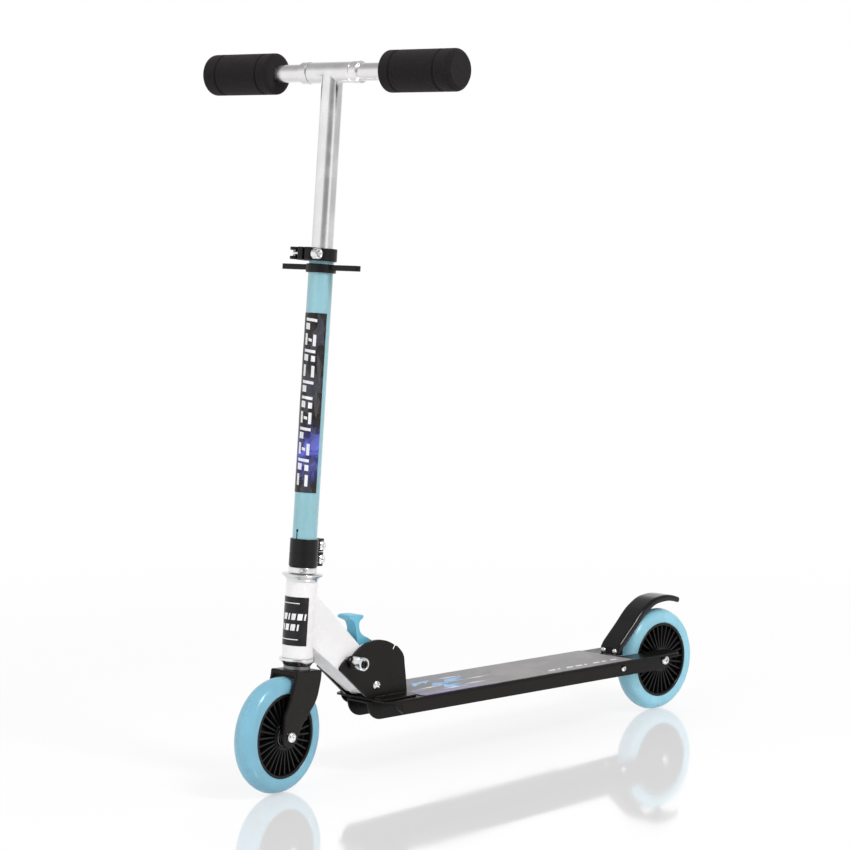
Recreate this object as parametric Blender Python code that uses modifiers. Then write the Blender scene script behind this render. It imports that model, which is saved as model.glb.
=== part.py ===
"""A child's folding kick scooter as separate named pieces, in metres.

+X is forward, +Y is to the rider's left and +Z is up.
"""

import math

import bmesh
import bpy
from mathutils import Matrix, Vector

OBJECT_NAME = "kick_scooter"

# ---- Whole object -------------------------------------------------------------------------
FRONT_AXLE_X = 0.30034
WHEELBASE = 0.600
STEER_AT_REST = math.radians(8.1)
RAKE = math.radians(5.34)
STEM_FOOT_X = FRONT_AXLE_X - 0.0191
CLEARANCE = 0.0003
TURN_STEPS = 30
HOLE_STEPS = 16

# ---- Wheels -------------------------------------------------------------------------------
WHEEL_RADIUS = 0.060
TYRE_WIDTH = 0.024
TYRE_SEAT_RADIUS = 0.0437
HUB_HALF_WIDTH = 0.0112
HUB_BLADES = 30
HUB_BLADE_WIDTH = 0.0017
HUB_BLADE_HALF_WIDTH = 0.0096
HUB_BOSS_RADIUS = 0.0148
HUB_RIM_INNER_RADIUS = 0.0405
HUB_WEB_HALF_WIDTH = 0.0016
BEARING_RADIUS = 0.0110
BEARING_WIDTH = 0.0070
BEARING_SHOULDER = 0.0034
AXLE_RADIUS = 0.0039
AXLE_HEAD_RADIUS = 0.0056
WHEEL_STEPS = 48

# ---- Steering column, measured along its own axis -----------------------------------------
AXLE_OFFSET = 0.0246
FORK_HALF_WIDTH = 0.0180
FORK_PLATE = 0.0033
CROWN_TOP = 0.1245
CROWN_HALF_LENGTH = 0.0203
STEERER_RADIUS = 0.0112
STEERER_TOP = 0.2620
RACE_RADIUS = 0.0140
RACE_TOP = 0.1290
LOWER_CUP_RADIUS = 0.0190
HEAD_TUBE_BOTTOM = 0.1366
HEAD_TUBE_TOP = 0.2159
HEAD_TUBE_RADIUS = 0.01625
HEAD_TUBE_WALL = 0.0022
UPPER_CUP_RADIUS = 0.0215
UPPER_CUP_TOP = 0.2237
LOCKNUT_RADIUS = 0.0148
LOCKNUT_TOP = 0.2306
TUBE_RADIUS = 0.0129
TUBE_WALL = 0.0014
TUBE_TOP = 0.5560
TUBE_SLIT_BOTTOM = 0.5215
CLAMP_TOP = 0.2596
CLAMP_WALL = 0.0016
CLAMP_BOLT_X = -0.0205
CLAMP_BOLT_RADIUS = 0.0021
STICKER_THICKNESS = 0.0003
HEAD_STICKER_SPAN = (0.1500, 0.2000)
TUBE_STICKER_SPAN = (0.3075, 0.4920)
GRIP_CLIP_SPAN = (0.5336, 0.5424)
GRIP_CLIP_HALF_LENGTH = 0.0510
COLLAR_SPAN = (0.5455, 0.5585)
COLLAR_WALL = 0.0026
SKEWER_X = 0.0240
SKEWER_RADIUS = 0.0024
LEVER_PIVOT_Y = -0.0160
LEVER_THICKNESS = 0.0030

# ---- Handlebar ----------------------------------------------------------------------------
INNER_TUBE_RADIUS = 0.0112
INNER_TUBE_WALL = 0.0015
INNER_TUBE_BOTTOM = 0.3920
BAR_HEIGHT = 0.7392
T_SLEEVE_RADIUS = 0.0109
T_SLEEVE_HALF_LENGTH = 0.0280
BAR_RADIUS = 0.0092
BAR_WALL = 0.0014
BAR_RING_RADIUS = 0.0114
BAR_RING_LENGTH = 0.0100
GRIP_INNER_Y = 0.0730
GRIP_OUTER_Y = 0.1634
GRIP_RADIUS = 0.0215

# ---- Deck, in its own sloping frame -------------------------------------------------------
DECK_FRONT_X = FRONT_AXLE_X - 0.1210
DECK_FRONT_Z = 0.0815
DECK_SLOPE = math.radians(1.015)
DECK_HALF_WIDTH = 0.0440
DECK_PLATE = 0.0020
DECK_BEND_RADIUS = 0.0030
DECK_WALL_HEIGHT = 0.0148
DECK_LENGTH = 0.4805
DECK_NOSE_HALF_WIDTH = 0.0370
SLOT_HALF_WIDTH = 0.0156
SLOT_FRONT = -0.3975
RAIL_HALF_WIDTH = 0.0164
RAIL_PLATE = 0.0022
RAIL_FRONT = 0.0045
RAIL_DEPTH = 0.0230
RAIL_WEB_END = -0.3900
DROPOUT_RADIUS = 0.0106
TAPE_FRONT = -0.0535
TAPE_REAR = -0.3930
TAPE_HALF_WIDTH = 0.0415
TAPE_THICKNESS = 0.0008

# ---- Folding hinge ------------------------------------------------------------------------
PIVOT_X = FRONT_AXLE_X - 0.1265
PIVOT_Z = 0.0962
PIVOT_RADIUS = 0.0040
NECK_HALF_WIDTH = 0.0150
NECK_WALL = 0.0020
HINGE_PLATE_INNER_Y = 0.0154
HINGE_PLATE = 0.0030
HINGE_ARC_RADIUS = 0.0479
HINGE_FOOT_HALF_WIDTH = 0.0362
HINGE_FOOT_THICKNESS = 0.0020
LOCK_ANGLE = math.radians(40.3)
FOLD_ANGLE = math.radians(86.5)
LOCK_PIN_RADIUS = 0.0016
LOCK_PIN_ARM = 0.0499
LOCK_KNOB_ARM = 0.0445
LOCK_NOTCH_ARM = 0.0425
LOCK_NOTCH_HALF_WIDTH = 0.0020
LOCK_KNOB_RADIUS = 0.0070
LOCK_KNOB_LENGTH = 0.0160
LATCH_X = FRONT_AXLE_X - 0.1125
LATCH_Z = 0.1365
LATCH_PIN_RADIUS = 0.0020
LATCH_HALF_WIDTH = 0.0095

# ---- Brake --------------------------------------------------------------------------------
BRAKE_PIVOT_X = FRONT_AXLE_X - 0.5260
BRAKE_PIVOT_Z = 0.0600
BRAKE_BOLT_RADIUS = 0.0025
FENDER_HALF_WIDTH = 0.0147
FENDER_WALL = 0.0020
FENDER_BEND = 0.0030
FENDER_DEPTH = 0.0070
FENDER_SCREW_Y = 0.0085
FENDER_SCREW_Z = 0.0795

LEFT = Matrix.Rotation(-math.pi / 2, 4, "X")
SIDE = Matrix.Rotation(math.pi / 2, 4, "X")
STEM = Matrix.Translation((STEM_FOOT_X, 0, 0)) @ Matrix.Rotation(-RAKE, 4, "Y")
STEERED = STEM @ Matrix.Rotation(STEER_AT_REST, 4, "Z")
DECK = Matrix.Translation((DECK_FRONT_X, 0, DECK_FRONT_Z)) @ Matrix.Rotation(-DECK_SLOPE, 4, "Y")
PIVOT = Matrix.Translation((PIVOT_X, 0, PIVOT_Z))


# ---- Scene helpers ------------------------------------------------------------------------
def clear_scene():
    """Removes every object that is already in the scene."""
    for obj in list(bpy.data.objects):
        bpy.data.objects.remove(obj, do_unlink=True)


def add_collection(name):
    """Adds a collection to the scene."""
    collection = bpy.data.collections.new(name)
    bpy.context.scene.collection.children.link(collection)
    return collection


def add_material(name, color, roughness, metallic):
    """Makes a Principled material of one colour."""
    material = bpy.data.materials.new(name)
    material.use_nodes = True
    shader = material.node_tree.nodes["Principled BSDF"]
    shader.inputs["Base Color"].default_value = (*color, 1.0)
    shader.inputs["Roughness"].default_value = roughness
    shader.inputs["Metallic"].default_value = metallic
    material.diffuse_color = (*color, 1.0)
    return material


class Shop:
    """Holds the two collections and the materials that the pieces use."""

    def __init__(self):
        self.parts = add_collection(OBJECT_NAME)
        self.cutters = add_collection("cutters")
        self.materials = {}

    def material(self, node, color, roughness, metallic):
        self.materials[node] = add_material(node, color, roughness, metallic)
        return self.materials[node]


def place(name, mesh, matrix, collection):
    """Adds an object for the mesh at the given place."""
    obj = bpy.data.objects.new(name, mesh)
    obj.matrix_world = matrix
    collection.objects.link(obj)
    return obj


def turned(name, profile, matrix, collection, steps=TURN_STEPS, ring=False):
    """Turns a profile of (radius, height) points, running down its outer side, about the local Z axis."""
    mesh = bpy.data.meshes.new(name)
    points = [(radius, 0.0, height) for radius, height in profile]
    edges = [(index, index + 1) for index in range(len(points) - 1)]
    if ring:
        edges.append((len(points) - 1, 0))
    mesh.from_pydata(points, edges, [])
    obj = place(name, mesh, matrix, collection)
    screw = obj.modifiers.new("turn", "SCREW")
    screw.axis = "Z"
    screw.steps = steps
    screw.render_steps = steps
    screw.use_merge_vertices = True
    screw.merge_threshold = 0.00001
    screw.use_smooth_shade = True
    return obj


def flat_piece(name, loops, thickness, matrix, collection):
    """Extrudes closed outlines, the first the edge and the rest its holes, evenly about their own plane."""
    curve = bpy.data.curves.new(name, "CURVE")
    curve.dimensions = "2D"
    curve.fill_mode = "BOTH"
    curve.extrude = thickness / 2
    for loop in loops:
        spline = curve.splines.new("POLY")
        spline.points.add(len(loop) - 1)
        for point, corner in zip(spline.points, loop):
            point.co = (corner[0], corner[1], 0.0, 1.0)
        spline.use_cyclic_u = True
    drawn = bpy.data.objects.new(name + "_outline", curve)
    drawn.matrix_world = matrix
    collection.objects.link(drawn)
    return as_mesh(drawn, name, matrix, collection)


def wire(name, points, radius, matrix, collection, resolution=1):
    """Runs a round wire with closed ends through the points."""
    curve = bpy.data.curves.new(name, "CURVE")
    curve.dimensions = "3D"
    curve.bevel_depth = radius
    curve.bevel_resolution = resolution
    curve.use_fill_caps = True
    spline = curve.splines.new("POLY")
    spline.points.add(len(points) - 1)
    for point, corner in zip(spline.points, points):
        point.co = (*corner, 1.0)
    drawn = bpy.data.objects.new(name + "_path", curve)
    drawn.matrix_world = matrix
    collection.objects.link(drawn)
    return as_mesh(drawn, name, matrix, collection)


def as_mesh(drawn, name, matrix, collection):
    """Turns a drawn curve into a mesh object with welded caps."""
    bpy.context.view_layer.update()
    evaluated = drawn.evaluated_get(bpy.context.evaluated_depsgraph_get())
    mesh = bpy.data.meshes.new_from_object(evaluated)
    mesh.name = name
    weld = bmesh.new()
    weld.from_mesh(mesh)
    bmesh.ops.remove_doubles(weld, verts=weld.verts, dist=0.000001)
    bmesh.ops.recalc_face_normals(weld, faces=weld.faces)
    weld.to_mesh(mesh)
    weld.free()
    bpy.data.objects.remove(drawn, do_unlink=True)
    return place(name, mesh, matrix, collection)


def block(name, low, high, matrix, collection):
    """Adds a box between two opposite corners."""
    mesh = bpy.data.meshes.new(name)
    shape = bmesh.new()
    size = [top - bottom for bottom, top in zip(low, high)]
    middle = Vector([(bottom + top) / 2 for bottom, top in zip(low, high)])
    bmesh.ops.create_cube(shape, size=1.0, matrix=Matrix.Translation(middle) @ Matrix.Diagonal((*size, 1.0)))
    shape.to_mesh(mesh)
    shape.free()
    return place(name, mesh, matrix, collection)


def rod(name, radius, start, end, matrix, collection, segments=HOLE_STEPS):
    """Adds a cylinder along the local Z axis."""
    mesh = bpy.data.meshes.new(name)
    shape = bmesh.new()
    spot = Matrix.Translation((0, 0, (start + end) / 2))
    size = {"radius1": radius, "radius2": radius, "depth": end - start}
    bmesh.ops.create_cone(shape, cap_ends=True, segments=segments, matrix=spot, **size)
    shape.to_mesh(mesh)
    shape.free()
    return place(name, mesh, matrix, collection)


def combine(obj, cutter, operation):
    """Adds an exact Boolean, and hides the other object from renders."""
    cutter.hide_render = True
    cutter.display_type = "WIRE"
    step = obj.modifiers.new(operation.lower(), "BOOLEAN")
    step.operation = operation
    step.solver = "EXACT"
    step.object = cutter
    return step


def cut(obj, cutter):
    """Takes the cutter's shape out of the object."""
    return combine(obj, cutter, "DIFFERENCE")


def join(obj, other):
    """Welds the other shape to the object."""
    return combine(obj, other, "UNION")


def soften(obj, width, segments=2, angle=40.0):
    """Rounds the object's sharp edges."""
    bevel = obj.modifiers.new("soften", "BEVEL")
    bevel.width = width
    bevel.segments = segments
    bevel.limit_method = "ANGLE"
    bevel.angle_limit = math.radians(angle)
    return bevel


def arc(center, radius, start, end, count):
    """Points on an arc between two angles in degrees, both ends included."""
    points = []
    for index in range(count):
        angle = math.radians(start + (end - start) * index / (count - 1))
        points.append((center[0] + radius * math.cos(angle), center[1] + radius * math.sin(angle)))
    return points


def circle(center, radius, count=HOLE_STEPS):
    """A closed circle of points."""
    return arc(center, radius, 0, 360 * (count - 1) / count, count)


def hexagon(radius):
    """A closed hexagon of points."""
    return circle((0, 0), radius, 6)


def slot_outline(first, second, radius, count=7):
    """The outline of a slot with round ends between two centres."""
    heading = math.degrees(math.atan2(second[1] - first[1], second[0] - first[0]))
    return arc(second, radius, heading - 90, heading + 90, count) + arc(
        first, radius, heading + 90, heading + 270, count
    )


def from_pivot(points):
    """Moves (x, z) points given from the front axle's foot to the fold pivot."""
    return [(x + FRONT_AXLE_X - PIVOT_X, z - PIVOT_Z) for x, z in points]


# ---- Wheels -------------------------------------------------------------------------------
def tyre_profile():
    """The tyre's section, down its outer side and back up its seat."""
    half = TYRE_WIDTH / 2
    upper = [
        (TYRE_SEAT_RADIUS, half - 0.0008),
        (0.0462, half - 0.0001),
        (0.0505, half),
        (0.0542, half - 0.0011),
        (0.0570, half - 0.0035),
        (0.0589, half - 0.0070),
        (WHEEL_RADIUS, half - 0.0106),
    ]
    return upper + [(radius, -height) for radius, height in reversed(upper)]


def hub_profile():
    """The hub's turned part: boss, web and rim."""
    bore = BEARING_RADIUS + 0.0001
    web = HUB_WEB_HALF_WIDTH
    upper = [
        (bore, BEARING_SHOULDER),
        (bore, HUB_HALF_WIDTH - 0.0006),
        (HUB_BOSS_RADIUS, HUB_HALF_WIDTH - 0.0006),
        (HUB_BOSS_RADIUS, web),
        (HUB_RIM_INNER_RADIUS, web),
        (HUB_RIM_INNER_RADIUS, HUB_HALF_WIDTH),
        (TYRE_SEAT_RADIUS - CLEARANCE, HUB_HALF_WIDTH),
    ]
    lower = [(radius, -height) for radius, height in reversed(upper)]
    return upper + lower + [(0.0075, -BEARING_SHOULDER), (0.0075, BEARING_SHOULDER)]


def blade_window(index):
    """The outline of the opening between two neighbouring hub blades."""
    half = HUB_BLADE_WIDTH / 2
    step = 2 * math.pi / HUB_BLADES
    inner = HUB_BOSS_RADIUS - 0.0005
    outer = HUB_RIM_INNER_RADIUS + 0.0003
    corners = []
    for radius, side in ((inner, 0), (outer, 0), (outer, 1), (inner, 1)):
        lean = math.asin(half / radius)
        angle = step * index + (step - lean if side else lean)
        corners.append((radius * math.cos(angle), radius * math.sin(angle)))
    return corners


def add_wheel(shop, end, place_matrix):
    """Adds a tyre, a bladed hub and two ball bearings on an axle along local Y."""
    axis = place_matrix @ LEFT
    turned(end + "_tyre", tyre_profile(), axis, shop.parts, WHEEL_STEPS, ring=True)
    rim = circle((0, 0), TYRE_SEAT_RADIUS - 0.0012, WHEEL_STEPS)
    loops = [rim, circle((0, 0), HUB_BOSS_RADIUS - 0.0022, 30)]
    loops += [blade_window(index) for index in range(HUB_BLADES)]
    hub = flat_piece(end + "_hub", loops, 2 * HUB_BLADE_HALF_WIDTH, axis, shop.parts)
    join(hub, turned(end + "_hub_core", hub_profile(), axis, shop.cutters, WHEEL_STEPS, ring=True))
    for side, name in ((1, "left"), (-1, "right")):
        spot = axis @ Matrix.Translation((0, 0, side * (BEARING_SHOULDER + 0.00005 + BEARING_WIDTH / 2)))
        turned(end + "_bearing_" + name, bearing_profile(), spot, shop.parts, 24, ring=True)


def bearing_profile():
    """A sealed ball bearing's section."""
    half = BEARING_WIDTH / 2
    bore = AXLE_RADIUS + 0.0002
    return [(bore, half), (BEARING_RADIUS, half), (BEARING_RADIUS, -half), (bore, -half)]


def add_axle(shop, end, place_matrix, outer_y, inner_y):
    """Adds a wheel's bolt, nut and two spacers."""
    axis = place_matrix @ LEFT
    head = outer_y + CLEARANCE
    tail = -outer_y - CLEARANCE
    nut_height = 0.0052
    profile = [
        (0.0, head + 0.0040),
        (AXLE_HEAD_RADIUS * 0.55, head + 0.0036),
        (AXLE_HEAD_RADIUS * 0.9, head + 0.0022),
        (AXLE_HEAD_RADIUS, head + 0.0008),
        (AXLE_HEAD_RADIUS, head),
        (AXLE_RADIUS, head),
        (AXLE_RADIUS, tail - nut_height - 0.0006),
        (0.0, tail - nut_height - 0.0006),
    ]
    turned(end + "_axle_bolt", profile, axis, shop.parts, HOLE_STEPS)
    nut_spot = axis @ Matrix.Translation((0, 0, tail - nut_height / 2))
    loops = [hexagon(0.0070), circle((0, 0), AXLE_RADIUS + 0.0002)]
    flat_piece(end + "_axle_nut", loops, nut_height, nut_spot, shop.parts)
    start = BEARING_SHOULDER + BEARING_WIDTH + 0.00015
    for side, name in ((1, "left"), (-1, "right")):
        loops = [circle((0, 0), 0.0062), circle((0, 0), AXLE_RADIUS + 0.0002)]
        length = inner_y - 0.00015 - start
        spot = axis @ Matrix.Translation((0, 0, side * (start + length / 2)))
        flat_piece(end + "_spacer_" + name, loops, length, spot, shop.parts)


# ---- Deck ---------------------------------------------------------------------------------
def deck_section():
    """The deck's bent sheet section, across the deck and up."""
    outer = DECK_BEND_RADIUS
    inner = DECK_BEND_RADIUS - DECK_PLATE
    side = DECK_HALF_WIDTH
    half = [(side, -DECK_WALL_HEIGHT)]
    half += arc((side - outer, -outer), outer, 0, 90, 5)
    path = half + [(-x, z) for x, z in reversed(half)]
    back = [(side - DECK_PLATE, -DECK_WALL_HEIGHT)]
    back += arc((side - outer, -outer), inner, 0, 90, 4)
    back = back + [(-x, z) for x, z in reversed(back)]
    return path + list(reversed(back))


def add_deck_pan(shop):
    """Adds the bent deck plate with its wheel slot, nose corners, prong tips and wall ends."""
    middle = DECK @ Matrix.Translation((-DECK_LENGTH / 2, 0, 0))
    across = middle @ Matrix.Rotation(math.pi / 2, 4, "Z") @ SIDE
    deck = flat_piece("deck_pan", [deck_section()], DECK_LENGTH, across, shop.parts)
    far = -DECK_LENGTH - 0.02
    slot = [(far, -SLOT_HALF_WIDTH), (SLOT_FRONT - 0.003, -SLOT_HALF_WIDTH)]
    slot += [(SLOT_FRONT, -SLOT_HALF_WIDTH + 0.003), (SLOT_FRONT, SLOT_HALF_WIDTH - 0.003)]
    slot += [(SLOT_FRONT - 0.003, SLOT_HALF_WIDTH), (far, SLOT_HALF_WIDTH)]
    cut(deck, flat_piece("deck_slot_cutter", [slot], 0.06, DECK, shop.cutters))
    for side, name in ((1, "left"), (-1, "right")):
        nose = [(0.01, side * DECK_NOSE_HALF_WIDTH), (0.0, side * DECK_NOSE_HALF_WIDTH)]
        nose += [(-0.005, side * (DECK_HALF_WIDTH - 0.0034)), (-0.012, side * (DECK_HALF_WIDTH - 0.0010))]
        nose += [(-0.022, side * (DECK_HALF_WIDTH + 0.0001)), (-0.022, side * 0.06), (0.01, side * 0.06)]
        cut(deck, flat_piece("deck_nose_cutter_" + name, [nose], 0.06, DECK, shop.cutters))
        middle = (SLOT_HALF_WIDTH + DECK_HALF_WIDTH) / 2
        reach = (DECK_HALF_WIDTH - SLOT_HALF_WIDTH) / 2
        tip = arc((-DECK_LENGTH + reach, middle), reach + 0.00002, 180, 90, 7)
        tip = [(x, side * y) for x, y in tip]
        tip += [(-DECK_LENGTH + reach, side * 0.06), (-DECK_LENGTH - 0.02, side * 0.06)]
        tip += [(-DECK_LENGTH - 0.02, side * middle)]
        cut(deck, flat_piece("deck_tip_cutter_" + name, [tip], 0.06, DECK, shop.cutters))
    depth = DECK_WALL_HEIGHT
    walls = [(0.01, -0.05), (0.01, -DECK_PLATE - 0.0001), (-0.0105, -DECK_PLATE - 0.0001)]
    walls += [(-0.0115, -0.0060), (-0.0150, -0.0105), (-0.0210, -depth + 0.0006), (-0.0260, -depth)]
    walls += [(-0.3560, -depth), (-0.3615, -depth + 0.0010), (-0.3690, -DECK_PLATE - 0.0008)]
    walls += [(-0.3760, -DECK_PLATE - 0.0001), (-0.52, -DECK_PLATE - 0.0001), (-0.52, -0.05)]
    cut(deck, flat_piece("deck_wall_cutter", [walls], 0.12, DECK @ SIDE, shop.cutters))


def axle_in_deck():
    """The rear axle's (x, z) in the deck's frame."""
    spot = DECK.inverted() @ Vector((FRONT_AXLE_X - WHEELBASE, 0, WHEEL_RADIUS))
    return (spot.x, spot.z)


def brake_pivot_in_deck():
    """The brake bolt's (x, z) in the deck's frame."""
    spot = DECK.inverted() @ Vector((BRAKE_PIVOT_X, 0, BRAKE_PIVOT_Z))
    return (spot.x, spot.z)


def add_chassis(shop):
    """Adds the channel under the deck, whose flanges carry the rear axle."""
    axle = axle_in_deck()
    top = -DECK_PLATE - CLEARANCE
    side = [(RAIL_FRONT, top)]
    side += arc((RAIL_FRONT - 0.0190, -RAIL_DEPTH + 0.0190), 0.0190, 0, -90, 7)
    side += arc(axle, DROPOUT_RADIUS, -90, -270, 13)
    side[-1] = (axle[0], top)
    channel = flat_piece("chassis_channel", [side], 2 * RAIL_HALF_WIDTH, DECK @ SIDE, shop.parts)
    inner = RAIL_HALF_WIDTH - RAIL_PLATE
    low = (-0.52, -inner, -0.05)
    cut(channel, block("channel_inside", low, (0.02, inner, top - RAIL_PLATE), DECK, shop.cutters))
    low = (-0.52, -inner, -0.04)
    cut(channel, block("channel_wheel_gap", low, (RAIL_WEB_END, inner, 0.01), DECK, shop.cutters))
    bolts = (("axle", axle, AXLE_RADIUS), ("brake", brake_pivot_in_deck(), BRAKE_BOLT_RADIUS))
    for name, spot, radius in bolts:
        matrix = DECK @ Matrix.Translation((spot[0], 0, spot[1])) @ LEFT
        cut(channel, rod("channel_hole_" + name, radius + 0.0002, -0.03, 0.03, matrix, shop.cutters))


def add_grip_tape(shop):
    """Adds the anti-slip sheet on the deck."""
    corner = 0.004
    outline = []
    for x, y, start in (
        (TAPE_FRONT - corner, TAPE_HALF_WIDTH - corner, 0),
        (TAPE_REAR + corner, TAPE_HALF_WIDTH - corner, 90),
        (TAPE_REAR + corner, -TAPE_HALF_WIDTH + corner, 180),
        (TAPE_FRONT - corner, -TAPE_HALF_WIDTH + corner, 270),
    ):
        outline += arc((x, y), corner, start, start + 90, 4)
    spot = DECK @ Matrix.Translation((0, 0, TAPE_THICKNESS / 2 + 0.0001))
    flat_piece("grip_tape", [outline], TAPE_THICKNESS, spot, shop.parts)


# ---- Folding hinge ------------------------------------------------------------------------
def polar(arm, angle):
    """A point about the fold pivot, with the angle up from straight ahead."""
    return (arm * math.cos(angle), arm * math.sin(angle))


def notch(angle, rim_before, rim_after):
    """The outline of a round-bottomed notch in the hinge plate, passed from front to rear."""
    half = LOCK_NOTCH_HALF_WIDTH
    across = (math.sin(angle), -math.cos(angle))
    bottom = polar(LOCK_NOTCH_ARM + half, angle)
    points = []
    mouth = math.sqrt(rim_before**2 - half**2)
    out = polar(mouth, angle)
    points.append((out[0] + across[0] * half, out[1] + across[1] * half))
    heading = math.degrees(angle)
    points += arc(bottom, half, heading - 90, heading - 270, 7)
    mouth = math.sqrt(rim_after**2 - half**2)
    out = polar(mouth, angle)
    points.append((out[0] - across[0] * half, out[1] - across[1] * half))
    return points


def deck_top_z(x):
    """The deck's top height at a place along the object, from the fold pivot."""
    return DECK_FRONT_Z - (DECK_FRONT_X - PIVOT_X - x) * math.tan(DECK_SLOPE) - PIVOT_Z


def hinge_plate_outline():
    """The side plate's outline about the fold pivot."""
    foot = 0.00025
    points = [(0.0166, deck_top_z(0.0166) + 0.0057), (0.0512, 0.0222), (0.0510, 0.0250), (0.0473, 0.0291)]
    points += [polar(0.0545, math.radians(34.6))]
    points += notch(LOCK_ANGLE, 0.0535, HINGE_ARC_RADIUS)
    points += arc((0, 0), HINGE_ARC_RADIUS, 46, 121, 16)
    points += notch(LOCK_ANGLE + FOLD_ANGLE, HINGE_ARC_RADIUS, 0.0490)
    points += arc((0, 0), 0.0490, 133, 144, 3)
    points += [(-0.0413, 0.0245), (-0.0422, 0.0150), (-0.0440, 0.0), (-0.0451, deck_top_z(-0.0451) + foot)]
    points += [(0.0055, deck_top_z(0.0055) + foot), (0.0120, deck_top_z(0.0120) + 0.0020)]
    return points


def add_hinge_plates(shop):
    """Adds the two side plates with their feet on the deck."""
    hole = circle((0, 0), PIVOT_RADIUS + 0.0002)
    for side, name in ((1, "left"), (-1, "right")):
        middle = side * (HINGE_PLATE_INNER_Y + HINGE_PLATE / 2)
        spot = PIVOT @ Matrix.Translation((0, middle, 0)) @ SIDE
        loops = [hinge_plate_outline(), hole]
        plate = flat_piece("hinge_plate_" + name, loops, HINGE_PLATE, spot, shop.parts)
        near = side * (HINGE_PLATE_INNER_Y + 0.001)
        far = side * HINGE_FOOT_HALF_WIDTH
        tip = PIVOT_X + 0.0050 - DECK_FRONT_X
        tail = PIVOT_X - 0.0451 - DECK_FRONT_X
        foot = [(tip, near), (tip, far - side * 0.003), (tip - 0.003, far)]
        foot += [(tail + 0.006, far), (tail, far - side * 0.006), (tail, near)]
        height = 0.00025 + HINGE_FOOT_THICKNESS / 2
        spot = DECK @ Matrix.Translation((0, 0, height))
        join(plate, flat_piece("hinge_foot_" + name, [foot], HINGE_FOOT_THICKNESS, spot, shop.cutters))


def add_cross_bolt(shop, name, axis, radius, head_radius, seat, nut_radius, nut_height):
    """Adds a bolt with a domed head on the left and a nut on the right."""
    head = seat + CLEARANCE
    tail = -seat - CLEARANCE - nut_height - 0.0004
    profile = [
        (0.0, head + head_radius * 0.55),
        (head_radius * 0.6, head + head_radius * 0.46),
        (head_radius * 0.92, head + head_radius * 0.24),
        (head_radius, head),
        (radius, head),
        (radius, tail),
        (0.0, tail),
    ]
    turned(name + "_bolt", profile, axis, shop.parts, HOLE_STEPS)
    spot = axis @ Matrix.Translation((0, 0, -seat - CLEARANCE - nut_height / 2))
    loops = [hexagon(nut_radius), circle((0, 0), radius + 0.0002)]
    flat_piece(name + "_nut", loops, nut_height, spot, shop.parts)


def neck_outline():
    """The neck box's outer outline, seen from the side, from the front axle's foot."""
    pivot = (PIVOT_X - FRONT_AXLE_X, PIVOT_Z)
    latch = (LATCH_X - FRONT_AXLE_X, LATCH_Z)
    points = [(-0.0340, 0.1519), (-0.0380, 0.2096), (-0.1068, 0.1403)]
    points += arc(latch, 0.0048, 60, 215, 6)
    points += arc(pivot, 0.0136, 128, 316, 15)
    points += [(-0.1124, 0.0883)]
    return points


def neck_hollow_outline():
    """The neck box's inside, open at its lower rear end."""
    return [
        (-0.0370, 0.1520),
        (-0.0400, 0.2048),
        (-0.0990, 0.1453),
        (-0.1010, 0.1560),
        (-0.1300, 0.1480),
        (-0.1450, 0.1100),
        (-0.1450, 0.0780),
        (-0.1160, 0.0780),
        (-0.1137, 0.0905),
        (-0.1060, 0.0960),
    ]


def add_neck(shop):
    """Adds the head tube and the box-section neck as one welded frame."""
    matrix = PIVOT @ SIDE
    neck = flat_piece("neck_frame", [from_pivot(neck_outline())], 2 * NECK_HALF_WIDTH, matrix, shop.parts)
    inner = 2 * (NECK_HALF_WIDTH - NECK_WALL)
    cut(neck, flat_piece("neck_hollow", [from_pivot(neck_hollow_outline())], inner, matrix, shop.cutters))
    low = HEAD_TUBE_BOTTOM
    high = HEAD_TUBE_TOP
    join(neck, rod("head_tube_outside", HEAD_TUBE_RADIUS, low, high, STEM, shop.cutters, TURN_STEPS))
    bore = HEAD_TUBE_RADIUS - HEAD_TUBE_WALL
    cut(neck, rod("head_tube_bore", bore, 0.10, 0.25, STEM, shop.cutters, TURN_STEPS))
    reach = NECK_HALF_WIDTH - 0.0005
    join(neck, rod("pivot_bush", 0.0085, -reach, reach, PIVOT @ LEFT, shop.cutters))
    cut(neck, rod("pivot_bore", PIVOT_RADIUS + 0.0002, -0.03, 0.03, PIVOT @ LEFT, shop.cutters))
    latch = Matrix.Translation((LATCH_X, 0, LATCH_Z)) @ LEFT
    cut(neck, rod("latch_bore", LATCH_PIN_RADIUS + 0.0002, -0.03, 0.03, latch, shop.cutters))
    window = slot_outline(polar(0.0435, LOCK_ANGLE), polar(0.0505, LOCK_ANGLE), LOCK_PIN_RADIUS + 0.0006)
    cut(neck, flat_piece("lock_slot", [window], 0.06, PIVOT @ SIDE, shop.cutters))


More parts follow.
